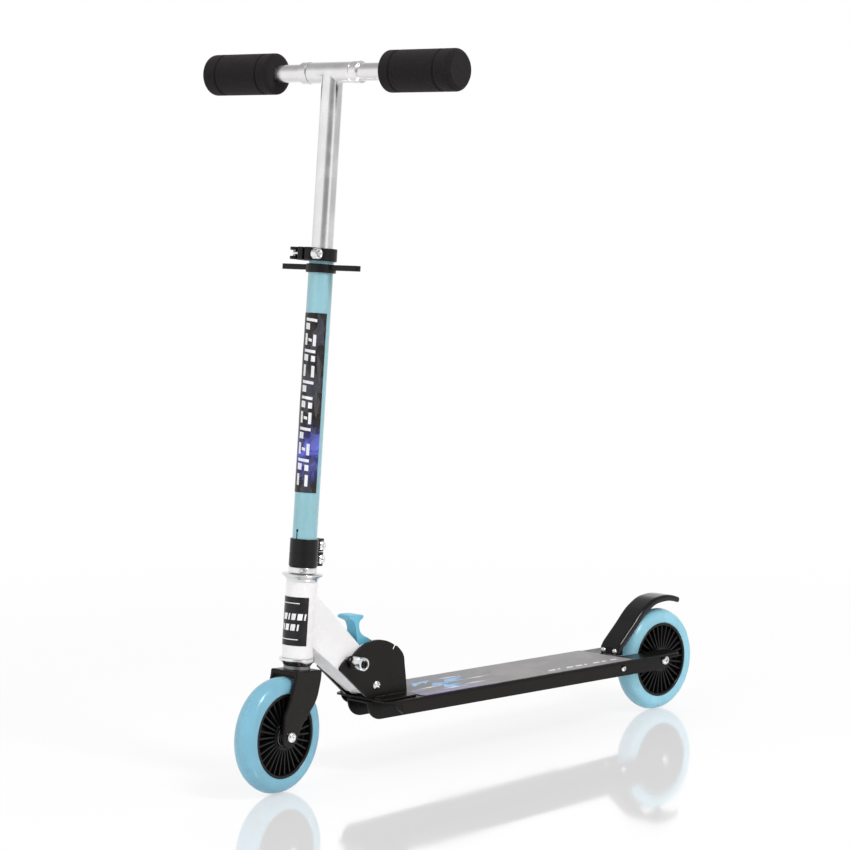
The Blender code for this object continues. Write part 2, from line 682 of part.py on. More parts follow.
def add_headset(shop):
    """Adds the headset's two cups, its crown race and its locknut."""
    bore = STEERER_RADIUS + 0.0004
    skirt = HEAD_TUBE_RADIUS - HEAD_TUBE_WALL - 0.0001
    bottom = RACE_TOP + CLEARANCE
    lower = [
        (bore, HEAD_TUBE_BOTTOM + 0.0060),
        (skirt, HEAD_TUBE_BOTTOM + 0.0060),
        (skirt, HEAD_TUBE_BOTTOM - 0.0001),
        (LOWER_CUP_RADIUS - 0.0010, HEAD_TUBE_BOTTOM - 0.0001),
        (LOWER_CUP_RADIUS, HEAD_TUBE_BOTTOM - 0.0012),
        (LOWER_CUP_RADIUS, HEAD_TUBE_BOTTOM - 0.0026),
        (LOWER_CUP_RADIUS - 0.0040, bottom),
        (bore, bottom),
    ]
    turned("headset_cup_lower", lower, STEM, shop.parts, TURN_STEPS, ring=True)
    top = UPPER_CUP_TOP
    upper = [
        (bore, top),
        (UPPER_CUP_RADIUS - 0.0006, top),
        (UPPER_CUP_RADIUS, top - 0.0010),
        (UPPER_CUP_RADIUS - 0.0006, top - 0.0020),
        (UPPER_CUP_RADIUS - 0.0042, top - 0.0048),
        (HEAD_TUBE_RADIUS, HEAD_TUBE_TOP + 0.0001),
        (skirt, HEAD_TUBE_TOP + 0.0001),
        (skirt, HEAD_TUBE_TOP - 0.0060),
        (bore, HEAD_TUBE_TOP - 0.0060),
    ]
    turned("headset_cup_upper", upper, STEM, shop.parts, TURN_STEPS, ring=True)
    race = [
        (bore - 0.0002, RACE_TOP),
        (RACE_RADIUS - 0.0012, RACE_TOP),
        (RACE_RADIUS, RACE_TOP - 0.0012),
        (RACE_RADIUS, CROWN_TOP + CLEARANCE),
        (bore - 0.0002, CROWN_TOP + CLEARANCE),
    ]
    turned("crown_race", race, STEERED, shop.parts, TURN_STEPS, ring=True)
    nut = [
        (bore - 0.0002, LOCKNUT_TOP),
        (LOCKNUT_RADIUS - 0.0010, LOCKNUT_TOP),
        (LOCKNUT_RADIUS, LOCKNUT_TOP - 0.0012),
        (LOCKNUT_RADIUS, UPPER_CUP_TOP + CLEARANCE + 0.0008),
        (LOCKNUT_RADIUS - 0.0006, UPPER_CUP_TOP + CLEARANCE),
        (bore - 0.0002, UPPER_CUP_TOP + CLEARANCE),
    ]
    turned("headset_locknut", nut, STEERED, shop.parts, 30, ring=True)


def wrap_sheet(name, radius, span, half_angle, matrix, shop):
    """Adds a thin sheet wrapped round the front of a tube."""
    steps = 14
    outer = arc((0, 0), radius + 0.0001 + STICKER_THICKNESS, -half_angle, half_angle, steps)
    inner = arc((0, 0), radius + 0.0001, half_angle, -half_angle, steps)
    spot = matrix @ Matrix.Translation((0, 0, (span[0] + span[1]) / 2))
    return flat_piece(name, [outer + inner], span[1] - span[0], spot, shop.parts)


# ---- Lock and latch -----------------------------------------------------------------------
def add_lock(shop):
    """Adds the lock pin, its link, the knob and the knob's bolt."""
    plate_out = HINGE_PLATE_INNER_Y + HINGE_PLATE
    link_in = plate_out + 0.0004
    link = 0.0016
    pin = polar(LOCK_PIN_ARM, LOCK_ANGLE)
    knob = polar(LOCK_KNOB_ARM, LOCK_ANGLE)
    pin_axis = PIVOT @ Matrix.Translation((pin[0], 0, pin[1])) @ LEFT
    knob_axis = PIVOT @ Matrix.Translation((knob[0], 0, knob[1])) @ LEFT
    profile = [
        (0.0, link_in + link),
        (LOCK_PIN_RADIUS, link_in + link),
        (LOCK_PIN_RADIUS, -plate_out - 0.0004),
        (0.0030, -plate_out - 0.0004),
        (0.0030, -plate_out - 0.0018),
        (0.0022, -plate_out - 0.0026),
        (0.0, -plate_out - 0.0026),
    ]
    turned("lock_pin", profile, pin_axis, shop.parts, 20)
    loops = [slot_outline(knob, pin, 0.0040, 8), circle(pin, LOCK_PIN_RADIUS + 0.0002, 16)]
    loops += [circle(knob, 0.0018, 16)]
    spot = PIVOT @ Matrix.Translation((0, link_in + link / 2, 0)) @ SIDE
    flat_piece("lock_link", loops, link, spot, shop.parts)
    start = link_in + link + 0.0003
    end = start + LOCK_KNOB_LENGTH
    sleeve = [
        (0.0018, end - 0.0022),
        (0.0048, end - 0.0022),
        (0.0048, end),
        (LOCK_KNOB_RADIUS - 0.0008, end),
        (LOCK_KNOB_RADIUS, end - 0.0010),
        (LOCK_KNOB_RADIUS, start + 0.0006),
        (LOCK_KNOB_RADIUS - 0.0006, start),
        (0.0018, start),
    ]
    turned("lock_knob", sleeve, knob_axis, shop.parts, 24, ring=True)
    seat = knob_axis @ Matrix.Translation((0, 0, end - 0.0006))
    head = flat_piece("lock_knob_bolt", [hexagon(0.0042)], 0.0026, seat, shop.parts)
    join(head, rod("lock_knob_shank", 0.0016, link_in, end - 0.0010, knob_axis, shop.cutters, 16))


def latch_outline():
    """The latch lever's outline, seen from the side, from the front axle's foot."""
    return [
        (-0.0950, 0.1330),
        (-0.0970, 0.1298),
        (-0.1100, 0.1303),
        (-0.1180, 0.1310),
        (-0.1240, 0.1368),
        (-0.1275, 0.1418),
        (-0.1250, 0.1452),
        (-0.1170, 0.1490),
        (-0.1122, 0.1530),
        (-0.1104, 0.1590),
        (-0.1112, 0.1652),
        (-0.1165, 0.1678),
        (-0.1175, 0.1698),
        (-0.1150, 0.1716),
        (-0.1000, 0.1724),
        (-0.0972, 0.1708),
        (-0.0980, 0.1690),
        (-0.1040, 0.1655),
        (-0.1058, 0.1600),
        (-0.1072, 0.1490),
        (-0.1078, 0.1425),
        (-0.1050, 0.1380),
    ]


def add_latch(shop):
    """Adds the latch lever and its pin."""
    origin = Matrix.Translation((LATCH_X, 0, LATCH_Z))
    outline = [(x + FRONT_AXLE_X - LATCH_X, z - LATCH_Z) for x, z in latch_outline()]
    hole = circle((0, 0), LATCH_PIN_RADIUS + 0.0002, 20)
    lever = flat_piece("latch_lever", [outline, hole], 2 * LATCH_HALF_WIDTH, origin @ SIDE, shop.parts)
    for side, name in ((1, "left"), (-1, "right")):
        waist = [(side * 0.0050, 0.0285), (side * 0.0042, 0.0200)]
        waist += [(side * 0.0060, 0.0140), (side * 0.0110, 0.0105)]
        waist += [(side * 0.0200, 0.0105), (side * 0.0200, 0.0312), (side * 0.0095, 0.0312)]
        turn = origin @ Matrix.Rotation(math.pi / 2, 4, "Z") @ SIDE
        cut(lever, flat_piece("latch_waist_" + name, [waist], 0.08, turn, shop.cutters))
    soften(lever, 0.0005, 1, 35.0)
    end = NECK_HALF_WIDTH - 0.0002
    rod("latch_pin", LATCH_PIN_RADIUS, -end, end, origin @ LEFT, shop.parts, 20)


# ---- Fork and steering tube ---------------------------------------------------------------
def fork_outline():
    """The fork leg's outline, seen from the side, in the column's frame."""
    axle = (AXLE_OFFSET, WHEEL_RADIUS / math.cos(RAKE) - AXLE_OFFSET * math.tan(RAKE))
    rear = CROWN_HALF_LENGTH
    points = [(-rear, CROWN_TOP), (-0.0200, 0.1150), (-0.0158, 0.0965), (-0.0112, 0.0885), (0.0060, 0.0690)]
    points += arc(axle, 0.0115, 205, 385, 13)
    points += [(0.0348, 0.0805), (0.0286, 0.0922), (0.0240, 0.1060)]
    points += [(rear + 0.0004, 0.1180), (rear, CROWN_TOP)]
    return points


def front_axle_spot():
    """The front axle in the column's frame."""
    spot = STEM.inverted() @ Vector((FRONT_AXLE_X, 0, WHEEL_RADIUS))
    return Matrix.Translation((spot.x, 0, spot.z))


def add_fork(shop):
    """Adds the pressed fork with its steerer tube."""
    fork = flat_piece("fork", [fork_outline()], 2 * FORK_HALF_WIDTH, STEERED @ SIDE, shop.parts)
    soften(fork, 0.0008, 1, 60.0)
    inner = FORK_HALF_WIDTH - FORK_PLATE
    low = (-0.05, -inner, 0.02)
    cut(fork, block("fork_gap", low, (0.07, inner, CROWN_TOP - FORK_PLATE - 0.0007), STEERED, shop.cutters))
    low = CROWN_TOP - 0.002
    join(fork, rod("steerer_outside", STEERER_RADIUS, low, STEERER_TOP, STEERED, shop.cutters, TURN_STEPS))
    cut(fork, rod("steerer_bore", 0.0088, 0.10, 0.30, STEERED, shop.cutters, TURN_STEPS))
    axle = STEERED @ front_axle_spot() @ LEFT
    cut(fork, rod("fork_axle_bore", AXLE_RADIUS + 0.0002, -0.03, 0.03, axle, shop.cutters))


def add_steering_tube(shop):
    """Adds the outer tube with its clamping slit at the top and keyhole at the foot."""
    bottom = LOCKNUT_TOP + 0.0006
    outline = circle((0, 0), TUBE_RADIUS, TURN_STEPS)
    hole = circle((0, 0), TUBE_RADIUS - TUBE_WALL, TURN_STEPS)
    spot = STEERED @ Matrix.Translation((0, 0, (bottom + TUBE_TOP) / 2))
    tube = flat_piece("steering_tube", [outline, hole], TUBE_TOP - bottom, spot, shop.parts)
    slit = slot_outline((0, TUBE_SLIT_BOTTOM), (0, TUBE_TOP + 0.01), 0.0008, 5)
    face = STEERED @ Matrix.Translation((0.0125, 0, 0)) @ Matrix.Rotation(math.pi / 2, 4, "Z") @ SIDE
    cut(tube, flat_piece("tube_slit", [slit], 0.006, face, shop.cutters))
    keyhole = slot_outline((0, 0.2000), (0, 0.2670), 0.0008, 5)
    cut(tube, flat_piece("tube_foot_slit", [keyhole], 0.006, face, shop.cutters))
    eye = face @ Matrix.Translation((0, 0.2680, 0))
    cut(tube, rod("tube_foot_eye", 0.0016, -0.003, 0.003, eye, shop.cutters, 12))


def add_clamp(shop):
    """Adds the split band at the steering tube's foot and its two bolts."""
    bottom = LOCKNUT_TOP + 0.0003
    inner = TUBE_RADIUS + CLEARANCE
    outer = inner + CLAMP_WALL
    ear = -0.0265
    half = 0.0052
    gap = 0.0012
    meet = math.degrees(math.asin(half / outer))
    open_at = math.degrees(math.asin(gap / inner))
    outline = arc((0, 0), outer, 180 - meet, -180 + meet, 34) + [(ear, -half), (ear, -gap)]
    outline += arc((0, 0), inner, -180 + open_at, 180 - open_at, 34) + [(ear, gap), (ear, half)]
    spot = STEERED @ Matrix.Translation((0, 0, (bottom + CLAMP_TOP) / 2))
    band = flat_piece("clamp_band", [outline], CLAMP_TOP - bottom, spot, shop.parts)
    for name, height in (("upper", 0.2524), ("lower", 0.2385)):
        axis = STEERED @ Matrix.Translation((CLAMP_BOLT_X, 0, height)) @ LEFT
        cut(band, rod("clamp_hole_" + name, CLAMP_BOLT_RADIUS + 0.0002, -0.02, 0.02, axis, shop.cutters, 16))
        head = half + CLEARANCE
        profile = [
            (0.0, head + 0.0036),
            (0.0044, head + 0.0036),
            (0.0052, head + 0.0026),
            (0.0052, head),
            (CLAMP_BOLT_RADIUS, head),
            (CLAMP_BOLT_RADIUS, -half - 0.0010),
            (0.0, -half - 0.0010),
        ]
        turned("clamp_bolt_" + name, profile, axis, shop.parts, HOLE_STEPS)


def add_grip_clip(shop):
    """Adds the clip bar that holds the grips when they are pulled off."""
    low, high = GRIP_CLIP_SPAN
    ring = [
        (TUBE_RADIUS + CLEARANCE, high),
        (TUBE_RADIUS + 0.0022, high),
        (TUBE_RADIUS + 0.0028, high - 0.0008),
        (TUBE_RADIUS + 0.0028, low + 0.0008),
        (TUBE_RADIUS + 0.0022, low),
        (TUBE_RADIUS + CLEARANCE, low),
    ]
    clip = turned("grip_clip", ring, STEERED, shop.parts, TURN_STEPS, ring=True)
    for side, name in ((1, "left"), (-1, "right")):
        near = TUBE_RADIUS + 0.0015
        ends = sorted((side * near, side * GRIP_CLIP_HALF_LENGTH))
        start = (-0.0036, ends[0], high - 0.0060)
        end = (0.0036, ends[1], high - 0.0004)
        arm = block("clip_arm_" + name, start, end, STEERED, shop.cutters)
        join(clip, arm)


def add_collar(shop):
    """Adds the quick-release collar, its skewer, nut and lever."""
    low, high = COLLAR_SPAN
    middle = (low + high) / 2
    inner = TUBE_RADIUS + CLEARANCE
    outer = inner + COLLAR_WALL
    lug = 0.0300
    half = 0.0088
    gap = 0.0014
    meet = math.degrees(math.asin(half / outer))
    open_at = math.degrees(math.asin(gap / inner))
    outline = arc((0, 0), outer, meet, 360 - meet, 30)
    outline += [(lug - 0.0015, -half), (lug, -half + 0.0015), (lug, -gap)]
    outline += arc((0, 0), inner, 360 - open_at, open_at, 34)
    outline += [(lug, gap), (lug, half - 0.0015), (lug - 0.0015, half)]
    spot = STEERED @ Matrix.Translation((0, 0, middle))
    collar = flat_piece("height_collar", [outline], high - low, spot, shop.parts)
    lip = [
        (INNER_TUBE_RADIUS + CLEARANCE, high),
        (inner + 0.0006, high),
        (inner + 0.0006, TUBE_TOP + CLEARANCE),
        (INNER_TUBE_RADIUS + CLEARANCE, TUBE_TOP + CLEARANCE),
    ]
    join(collar, turned("collar_lip", lip, STEERED, shop.cutters, TURN_STEPS, ring=True))
    split = block("collar_split", (0.0, -gap, low - 0.01), (0.04, gap, high + 0.01), STEERED, shop.cutters)
    cut(collar, split)
    axis = STEERED @ Matrix.Translation((SKEWER_X, 0, middle)) @ LEFT
    cut(collar, rod("collar_bore", SKEWER_RADIUS + 0.0002, -0.02, 0.02, axis, shop.cutters, 20))
    skewer = rod("collar_skewer", SKEWER_RADIUS, LEVER_PIVOT_Y - 0.0010, 0.0172, axis, shop.parts, 20)
    pin_spot = STEERED @ Matrix.Translation((SKEWER_X, LEVER_PIVOT_Y, middle))
    join(skewer, rod("lever_pin", 0.0022, -0.0062, 0.0062, pin_spot, shop.cutters, 16))
    nut = [
        (SKEWER_RADIUS + 0.0002, half + 0.0080),
        (0.0046, half + 0.0080),
        (0.0056, half + 0.0068),
        (0.0056, half + 0.0006),
        (0.0050, half + CLEARANCE),
        (SKEWER_RADIUS + 0.0002, half + CLEARANCE),
    ]
    turned("collar_nut", nut, axis, shop.parts, 24, ring=True)
    add_lever(shop, pin_spot, high - low - 0.0004)


def lever_path():
    """The middle of the quick-release lever's blade, from its cam to its end, about the cam's axis."""
    return [
        (0.0, 0.0),
        (-0.0100, -0.0036),
        (-0.0200, -0.0050),
        (-0.0290, -0.0036),
        (-0.0375, 0.0010),
        (-0.0435, 0.0075),
        (-0.0475, 0.0150),
    ]


def add_lever(shop, spot, height):
    """Adds the lever as a bent blade with a round forked cam."""
    path = lever_path()
    half = LEVER_THICKNESS / 2
    left_side = []
    right_side = []
    for index, point in enumerate(path[1:], start=1):
        before = Vector(path[index - 1])
        after = Vector(path[min(index + 1, len(path) - 1)])
        heading = (after - before).normalized()
        across = Vector((-heading.y, heading.x)) * half
        left_side.append((point[0] + across.x, point[1] + across.y))
        right_side.append((point[0] - across.x, point[1] - across.y))
    cam = arc((0, 0), 0.0050, -150, 170, 16)
    outline = cam + right_side + list(reversed(left_side))
    lever = flat_piece("collar_lever", [outline, circle((0, 0), 0.0025, 16)], height, spot, shop.parts)
    low = (-0.0062, -0.0080, -0.0031)
    cut(lever, block("lever_fork_gap", low, (0.0080, 0.0120, 0.0031), spot, shop.cutters))


# ---- Handlebar ----------------------------------------------------------------------------
def add_t_bar(shop):
    """Adds the sliding inner tube with the sleeve across its top."""
    spot = STEERED
    tube = rod("t_bar", INNER_TUBE_RADIUS, INNER_TUBE_BOTTOM, BAR_HEIGHT, spot, shop.parts, TURN_STEPS)
    across = STEERED @ Matrix.Translation((0, 0, BAR_HEIGHT)) @ LEFT
    end = T_SLEEVE_HALF_LENGTH
    join(tube, rod("t_sleeve", T_SLEEVE_RADIUS, -end, end, across, shop.cutters, TURN_STEPS))
    bore = INNER_TUBE_RADIUS - INNER_TUBE_WALL
    cut(tube, rod("t_tube_bore", bore, INNER_TUBE_BOTTOM - 0.01, BAR_HEIGHT, spot, shop.cutters, TURN_STEPS))
    cut(tube, rod("t_sleeve_bore", BAR_RADIUS + CLEARANCE, -0.05, 0.05, across, shop.cutters, TURN_STEPS))


def add_bars(shop):
    """Adds the two pull-out bars and their foam grips."""
    for side, name in ((1, "left"), (-1, "right")):
        turn = STEERED @ Matrix.Translation((0, 0, BAR_HEIGHT))
        axis = turn @ (LEFT if side == 1 else Matrix.Rotation(math.pi / 2, 4, "X"))
        ring_start = T_SLEEVE_HALF_LENGTH + CLEARANCE
        ring_end = ring_start + BAR_RING_LENGTH
        bar = [
            (BAR_RADIUS - BAR_WALL, GRIP_OUTER_Y - 0.0080),
            (BAR_RADIUS, GRIP_OUTER_Y - 0.0080),
            (BAR_RADIUS, ring_end),
            (BAR_RING_RADIUS - 0.0005, ring_end),
            (BAR_RING_RADIUS, ring_end - 0.0005),
            (BAR_RING_RADIUS, ring_start + 0.0005),
            (BAR_RING_RADIUS - 0.0005, ring_start),
            (BAR_RADIUS, ring_start),
            (BAR_RADIUS, 0.0015),
            (BAR_RADIUS - BAR_WALL, 0.0015),
        ]
        turned("bar_" + name, bar, axis, shop.parts, 24, ring=True)
        turned("grip_" + name, grip_profile(), axis, shop.parts, TURN_STEPS, ring=False)


def grip_profile():
    """The foam grip's section, closed at its outer end and bored for the bar."""
    radius = GRIP_RADIUS
    groove = 0.0012
    outer = GRIP_OUTER_Y
    inner = GRIP_INNER_Y
    bore = BAR_RADIUS + CLEARANCE
    profile = [(0.0, outer), (radius - 0.0042, outer)]
    profile += [(radius - 0.0012, outer - 0.0012), (radius, outer - 0.0042)]
    for middle in (outer - 0.0200, inner + 0.0150):
        profile += [
            (radius, middle + 0.0018),
            (radius - groove, middle + 0.0007),
            (radius - groove, middle - 0.0007),
            (radius, middle - 0.0018),
        ]
    profile += [(radius, inner + 0.0050), (radius - 0.0016, inner + 0.0014), (radius - 0.0052, inner)]
    profile += [(bore, inner), (bore, outer - 0.0060), (0.0, outer - 0.0060)]
    return profile


# ---- Brake --------------------------------------------------------------------------------
def fender_top():
    """The top line of the brake fender from its base to its tip, from the front axle's foot."""
    return [
        (-0.5195, 0.0756),
        (-0.5195, 0.0836),
        (-0.5236, 0.0893),
        (-0.5330, 0.0975),
        (-0.5470, 0.1095),
        (-0.5565, 0.1183),
        (-0.5670, 0.1264),
        (-0.5830, 0.1342),
        (-0.5960, 0.1364),
        (-0.6080, 0.1367),
        (-0.6200, 0.1349),
        (-0.6300, 0.1318),
    ]


def fender_section():
    """The fender's outside across the wheel and down from its top line."""
    half = FENDER_HALF_WIDTH
    depth = FENDER_DEPTH
    bend = FENDER_BEND
    return [
        (-half, -depth),
        (-half, -bend),
        (-half + 0.3 * bend, -0.3 * bend),
        (-half + bend, 0.0),
        (half - bend, 0.0),
        (half - 0.3 * bend, -0.3 * bend),
        (half, -bend),
        (half, -depth),
    ]


def add_fender(shop):
    """Adds the brake fender as a bent channel over the rear wheel."""
    path = fender_top()
    last = len(path) - 1
    mesh = bpy.data.meshes.new("brake_fender")
    shell = bmesh.new()
    rows = []
    for index, point in enumerate(path):
        before = Vector(path[max(index - 1, 0)])
        after = Vector(path[min(index + 1, last)])
        heading = (after - before).normalized()
        row = []
        for across, down in fender_section():
            x = point[0] + heading.y * down + FRONT_AXLE_X - BRAKE_PIVOT_X
            z = point[1] - heading.x * down - BRAKE_PIVOT_Z
            row.append(shell.verts.new((x, across, z)))
        rows.append(row)
    for first, second in zip(rows, rows[1:]):
        for step in range(len(first) - 1):
            shell.faces.new((first[step], second[step], second[step + 1], first[step + 1]))
    bmesh.ops.recalc_face_normals(shell, faces=shell.faces)
    shell.to_mesh(mesh)
    shell.free()
    fender = place("brake_fender", mesh, Matrix.Translation((BRAKE_PIVOT_X, 0, BRAKE_PIVOT_Z)), shop.parts)
    sheet = fender.modifiers.new("sheet", "SOLIDIFY")
    sheet.thickness = FENDER_WALL
    sheet.offset = -1.0
    sheet.use_even_offset = True
    for side, name in ((1, "left"), (-1, "right")):
        axis = Matrix.Translation((FRONT_AXLE_X - 0.5195, side * FENDER_SCREW_Y, FENDER_SCREW_Z))
        axis = axis @ Matrix.Rotation(math.pi / 2, 4, "Y")
        cut(fender, rod("fender_hole_" + name, 0.0018, -0.006, 0.006, axis, shop.cutters, 16))
        profile = [
            (0.0, 0.0021),
            (0.0018, 0.0019),
            (0.0031, 0.0009),
            (0.0033, 0.0001),
            (0.0016, 0.0001),
            (0.0016, -0.0060),
            (0.0, -0.0060),
        ]
        turned("fender_screw_" + name, profile, axis, shop.parts, 20)


def add_knuckle(shop):
    """Adds the hinge block that carries the fender on its bolt."""
    origin = Matrix.Translation((BRAKE_PIVOT_X, 0, BRAKE_PIVOT_Z))
    front = FRONT_AXLE_X - 0.5221 - BRAKE_PIVOT_X
    outline = [(front, 0.0208), (front - 0.0034, 0.0208), (front - 0.0034, 0.0080)]
    outline += arc((0, 0), 0.0058, 130, 385, 16)
    hole = circle((0, 0), BRAKE_BOLT_RADIUS + 0.0002, 20)
    half = 0.0112
    knuckle = flat_piece("brake_knuckle", [outline, hole], 2 * half, origin @ SIDE, shop.parts)
    low = (-0.0100, -0.0046, -0.0100)
    cut(knuckle, block("knuckle_gap", low, (0.0100, 0.0046, 0.0105), origin, shop.cutters))
    for side, name in ((1, "left"), (-1, "right")):
        spot = Matrix.Translation((FRONT_AXLE_X - 0.5200, side * FENDER_SCREW_Y, FENDER_SCREW_Z))
        spot = spot @ Matrix.Rotation(math.pi / 2, 4, "Y")
        cut(knuckle, rod("knuckle_hole_" + name, 0.0018, -0.012, 0.006, spot, shop.cutters, 16))


def add_brake_spring(shop):
    """Adds the torsion spring round the brake bolt."""
    radius = 0.0039
    turns = 4
    steps = 12
    pitch = 0.0013
    points = [(-0.0128, -turns * pitch / 2, -0.0029), (-0.0060, -turns * pitch / 2, -0.0036)]
    for index in range(turns * steps + 1):
        angle = -math.pi / 2 - 2 * math.pi * index / steps
        height = -turns * pitch / 2 + pitch * index / steps
        points.append((radius * math.cos(angle), height, radius * math.sin(angle)))
    points.append((-0.0100, turns * pitch / 2, -0.0042))
    origin = Matrix.Translation((BRAKE_PIVOT_X, 0, BRAKE_PIVOT_Z))
    return wire("brake_spring", points, 0.0005, origin, shop.parts, 0)


# ---- Materials ----------------------------------------------------------------------------
FINISHES = {
    "black_paint": ((0.030, 0.028, 0.030), 0.35, 0.0),
    "gloss_black": ((0.020, 0.019, 0.021), 0.20, 0.0),
    "black_plastic": ((0.022, 0.022, 0.024), 0.45, 0.0),
    "white_paint": ((0.86, 0.86, 0.87), 0.22, 0.0),
    "blue_paint": ((0.30, 0.62, 0.74), 0.28, 0.0),
    "blue_plastic": ((0.12, 0.56, 0.72), 0.35, 0.0),
    "tyre_blue": ((0.21, 0.57, 0.72), 0.38, 0.0),
    "chrome": ((0.72, 0.73, 0.75), 0.10, 1.0),
    "zinc": ((0.62, 0.63, 0.65), 0.28, 1.0),
    "foam": ((0.016, 0.016, 0.017), 0.85, 0.0),
    "tape": ((0.055, 0.050, 0.060), 0.75, 0.0),
    "sticker": ((0.035, 0.034, 0.040), 0.30, 0.0),
    "spring_steel": ((0.40, 0.40, 0.42), 0.35, 1.0),
}

FINISH_OF = {
    "black_paint": (
        "deck_pan",
        "chassis_channel",
        "hinge_plate_left",
        "hinge_plate_right",
        "fork",
        "lock_link",
    ),
    "gloss_black": ("brake_fender",),
    "black_plastic": (
        "front_hub",
        "rear_hub",
        "clamp_band",
        "height_collar",
        "collar_lever",
        "grip_clip",
        "lock_knob_bolt",
    ),
    "white_paint": ("neck_frame",),
    "blue_paint": ("steering_tube",),
    "blue_plastic": ("latch_lever",),
    "tyre_blue": ("front_tyre", "rear_tyre"),
    "chrome": ("headset_cup_lower", "headset_cup_upper", "crown_race", "headset_locknut", "t_bar"),
    "foam": ("grip_left", "grip_right"),
    "tape": ("grip_tape",),
    "sticker": ("head_sticker", "tube_sticker"),
    "spring_steel": ("brake_spring", "brake_knuckle"),
}


def paint(shop):
    """Gives each piece a material of its own."""
    finish_of = {node: finish for finish, nodes in FINISH_OF.items() for node in nodes}
    for obj in shop.parts.objects:
        finish = finish_of.get(obj.name, "chrome" if obj.name.startswith("bar_") else "zinc")
        color, roughness, metallic = FINISHES[finish]
        obj.data.materials.clear()
        obj.data.materials.append(shop.material(obj.name, color, roughness, metallic))


def main():
    """Builds every piece of the scooter."""
    clear_scene()
    shop = Shop()
    rear = Matrix.Translation((FRONT_AXLE_X - WHEELBASE, 0, WHEEL_RADIUS))
    front = STEERED @ front_axle_spot()
    add_deck_pan(shop)
    add_chassis(shop)
    add_grip_tape(shop)
    add_hinge_plates(shop)
    seat = HINGE_PLATE_INNER_Y + HINGE_PLATE
    add_cross_bolt(shop, "pivot", PIVOT @ LEFT, PIVOT_RADIUS, 0.0050, seat, 0.0070, 0.0050)
    add_wheel(shop, "rear", rear)
    add_axle(shop, "rear", rear, RAIL_HALF_WIDTH, RAIL_HALF_WIDTH - RAIL_PLATE)
    brake_axis = Matrix.Translation((BRAKE_PIVOT_X, 0, BRAKE_PIVOT_Z)) @ LEFT
    add_cross_bolt(shop, "brake", brake_axis, BRAKE_BOLT_RADIUS, 0.0038, RAIL_HALF_WIDTH, 0.0045, 0.0034)
    add_fender(shop)
    add_knuckle(shop)
    add_brake_spring(shop)
    add_neck(shop)
    add_headset(shop)
    wrap_sheet("head_sticker", HEAD_TUBE_RADIUS, HEAD_STICKER_SPAN, 78, STEM, shop)
    add_lock(shop)
    add_latch(shop)
    add_fork(shop)
    add_wheel(shop, "front", front)
    add_axle(shop, "front", front, FORK_HALF_WIDTH, FORK_HALF_WIDTH - FORK_PLATE)
    add_steering_tube(shop)
    wrap_sheet("tube_sticker", TUBE_RADIUS, TUBE_STICKER_SPAN, 82, STEERED, shop)
    add_clamp(shop)
    add_grip_clip(shop)
    add_collar(shop)
    add_t_bar(shop)
    add_bars(shop)
    paint(shop)


main()
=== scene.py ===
"""Builds the looks of a folding child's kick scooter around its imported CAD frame."""

import logging
import math
from dataclasses import dataclass, field
from enum import Enum

import bmesh
import bpy
from mathutils import Matrix, Vector

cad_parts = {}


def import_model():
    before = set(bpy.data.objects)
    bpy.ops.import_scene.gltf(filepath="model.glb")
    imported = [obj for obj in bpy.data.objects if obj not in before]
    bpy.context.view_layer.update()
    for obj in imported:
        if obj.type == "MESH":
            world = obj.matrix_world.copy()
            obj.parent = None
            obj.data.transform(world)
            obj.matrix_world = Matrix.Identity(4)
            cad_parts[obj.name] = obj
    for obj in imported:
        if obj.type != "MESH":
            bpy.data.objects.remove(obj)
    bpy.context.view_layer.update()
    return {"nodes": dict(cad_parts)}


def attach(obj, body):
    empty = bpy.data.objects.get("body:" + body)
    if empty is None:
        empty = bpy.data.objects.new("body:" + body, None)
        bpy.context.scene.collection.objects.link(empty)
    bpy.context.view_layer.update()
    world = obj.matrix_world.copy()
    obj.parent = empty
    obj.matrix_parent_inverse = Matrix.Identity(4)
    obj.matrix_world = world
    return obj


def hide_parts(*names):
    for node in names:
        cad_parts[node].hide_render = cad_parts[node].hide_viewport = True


LOG = logging.getLogger("kick_scooter")

Point = tuple[float, float]
Triple = tuple[float, float, float]
Piece = bpy.types.Object
Socket = bpy.types.NodeSocket
WHITE = (1.0, 1.0, 1.0, 1.0)
SIDES = ((1, "left"), (-1, "right"))

LEFT = Matrix.Rotation(-math.pi / 2, 4, "X")
SIDE = Matrix.Rotation(math.pi / 2, 4, "X")
ACROSS = Matrix.Rotation(math.pi / 2, 4, "Z") @ SIDE


def shift(x: float = 0.0, y: float = 0.0, z: float = 0.0) -> Matrix:
    """Returns a matrix that only moves."""
    return Matrix.Translation((x, y, z))


def shown(name: str, data: bpy.types.ID) -> Piece:
    """Returns a new object in the scene for the data."""
    obj = bpy.data.objects.new(name, data)
    bpy.context.scene.collection.objects.link(obj)
    return obj


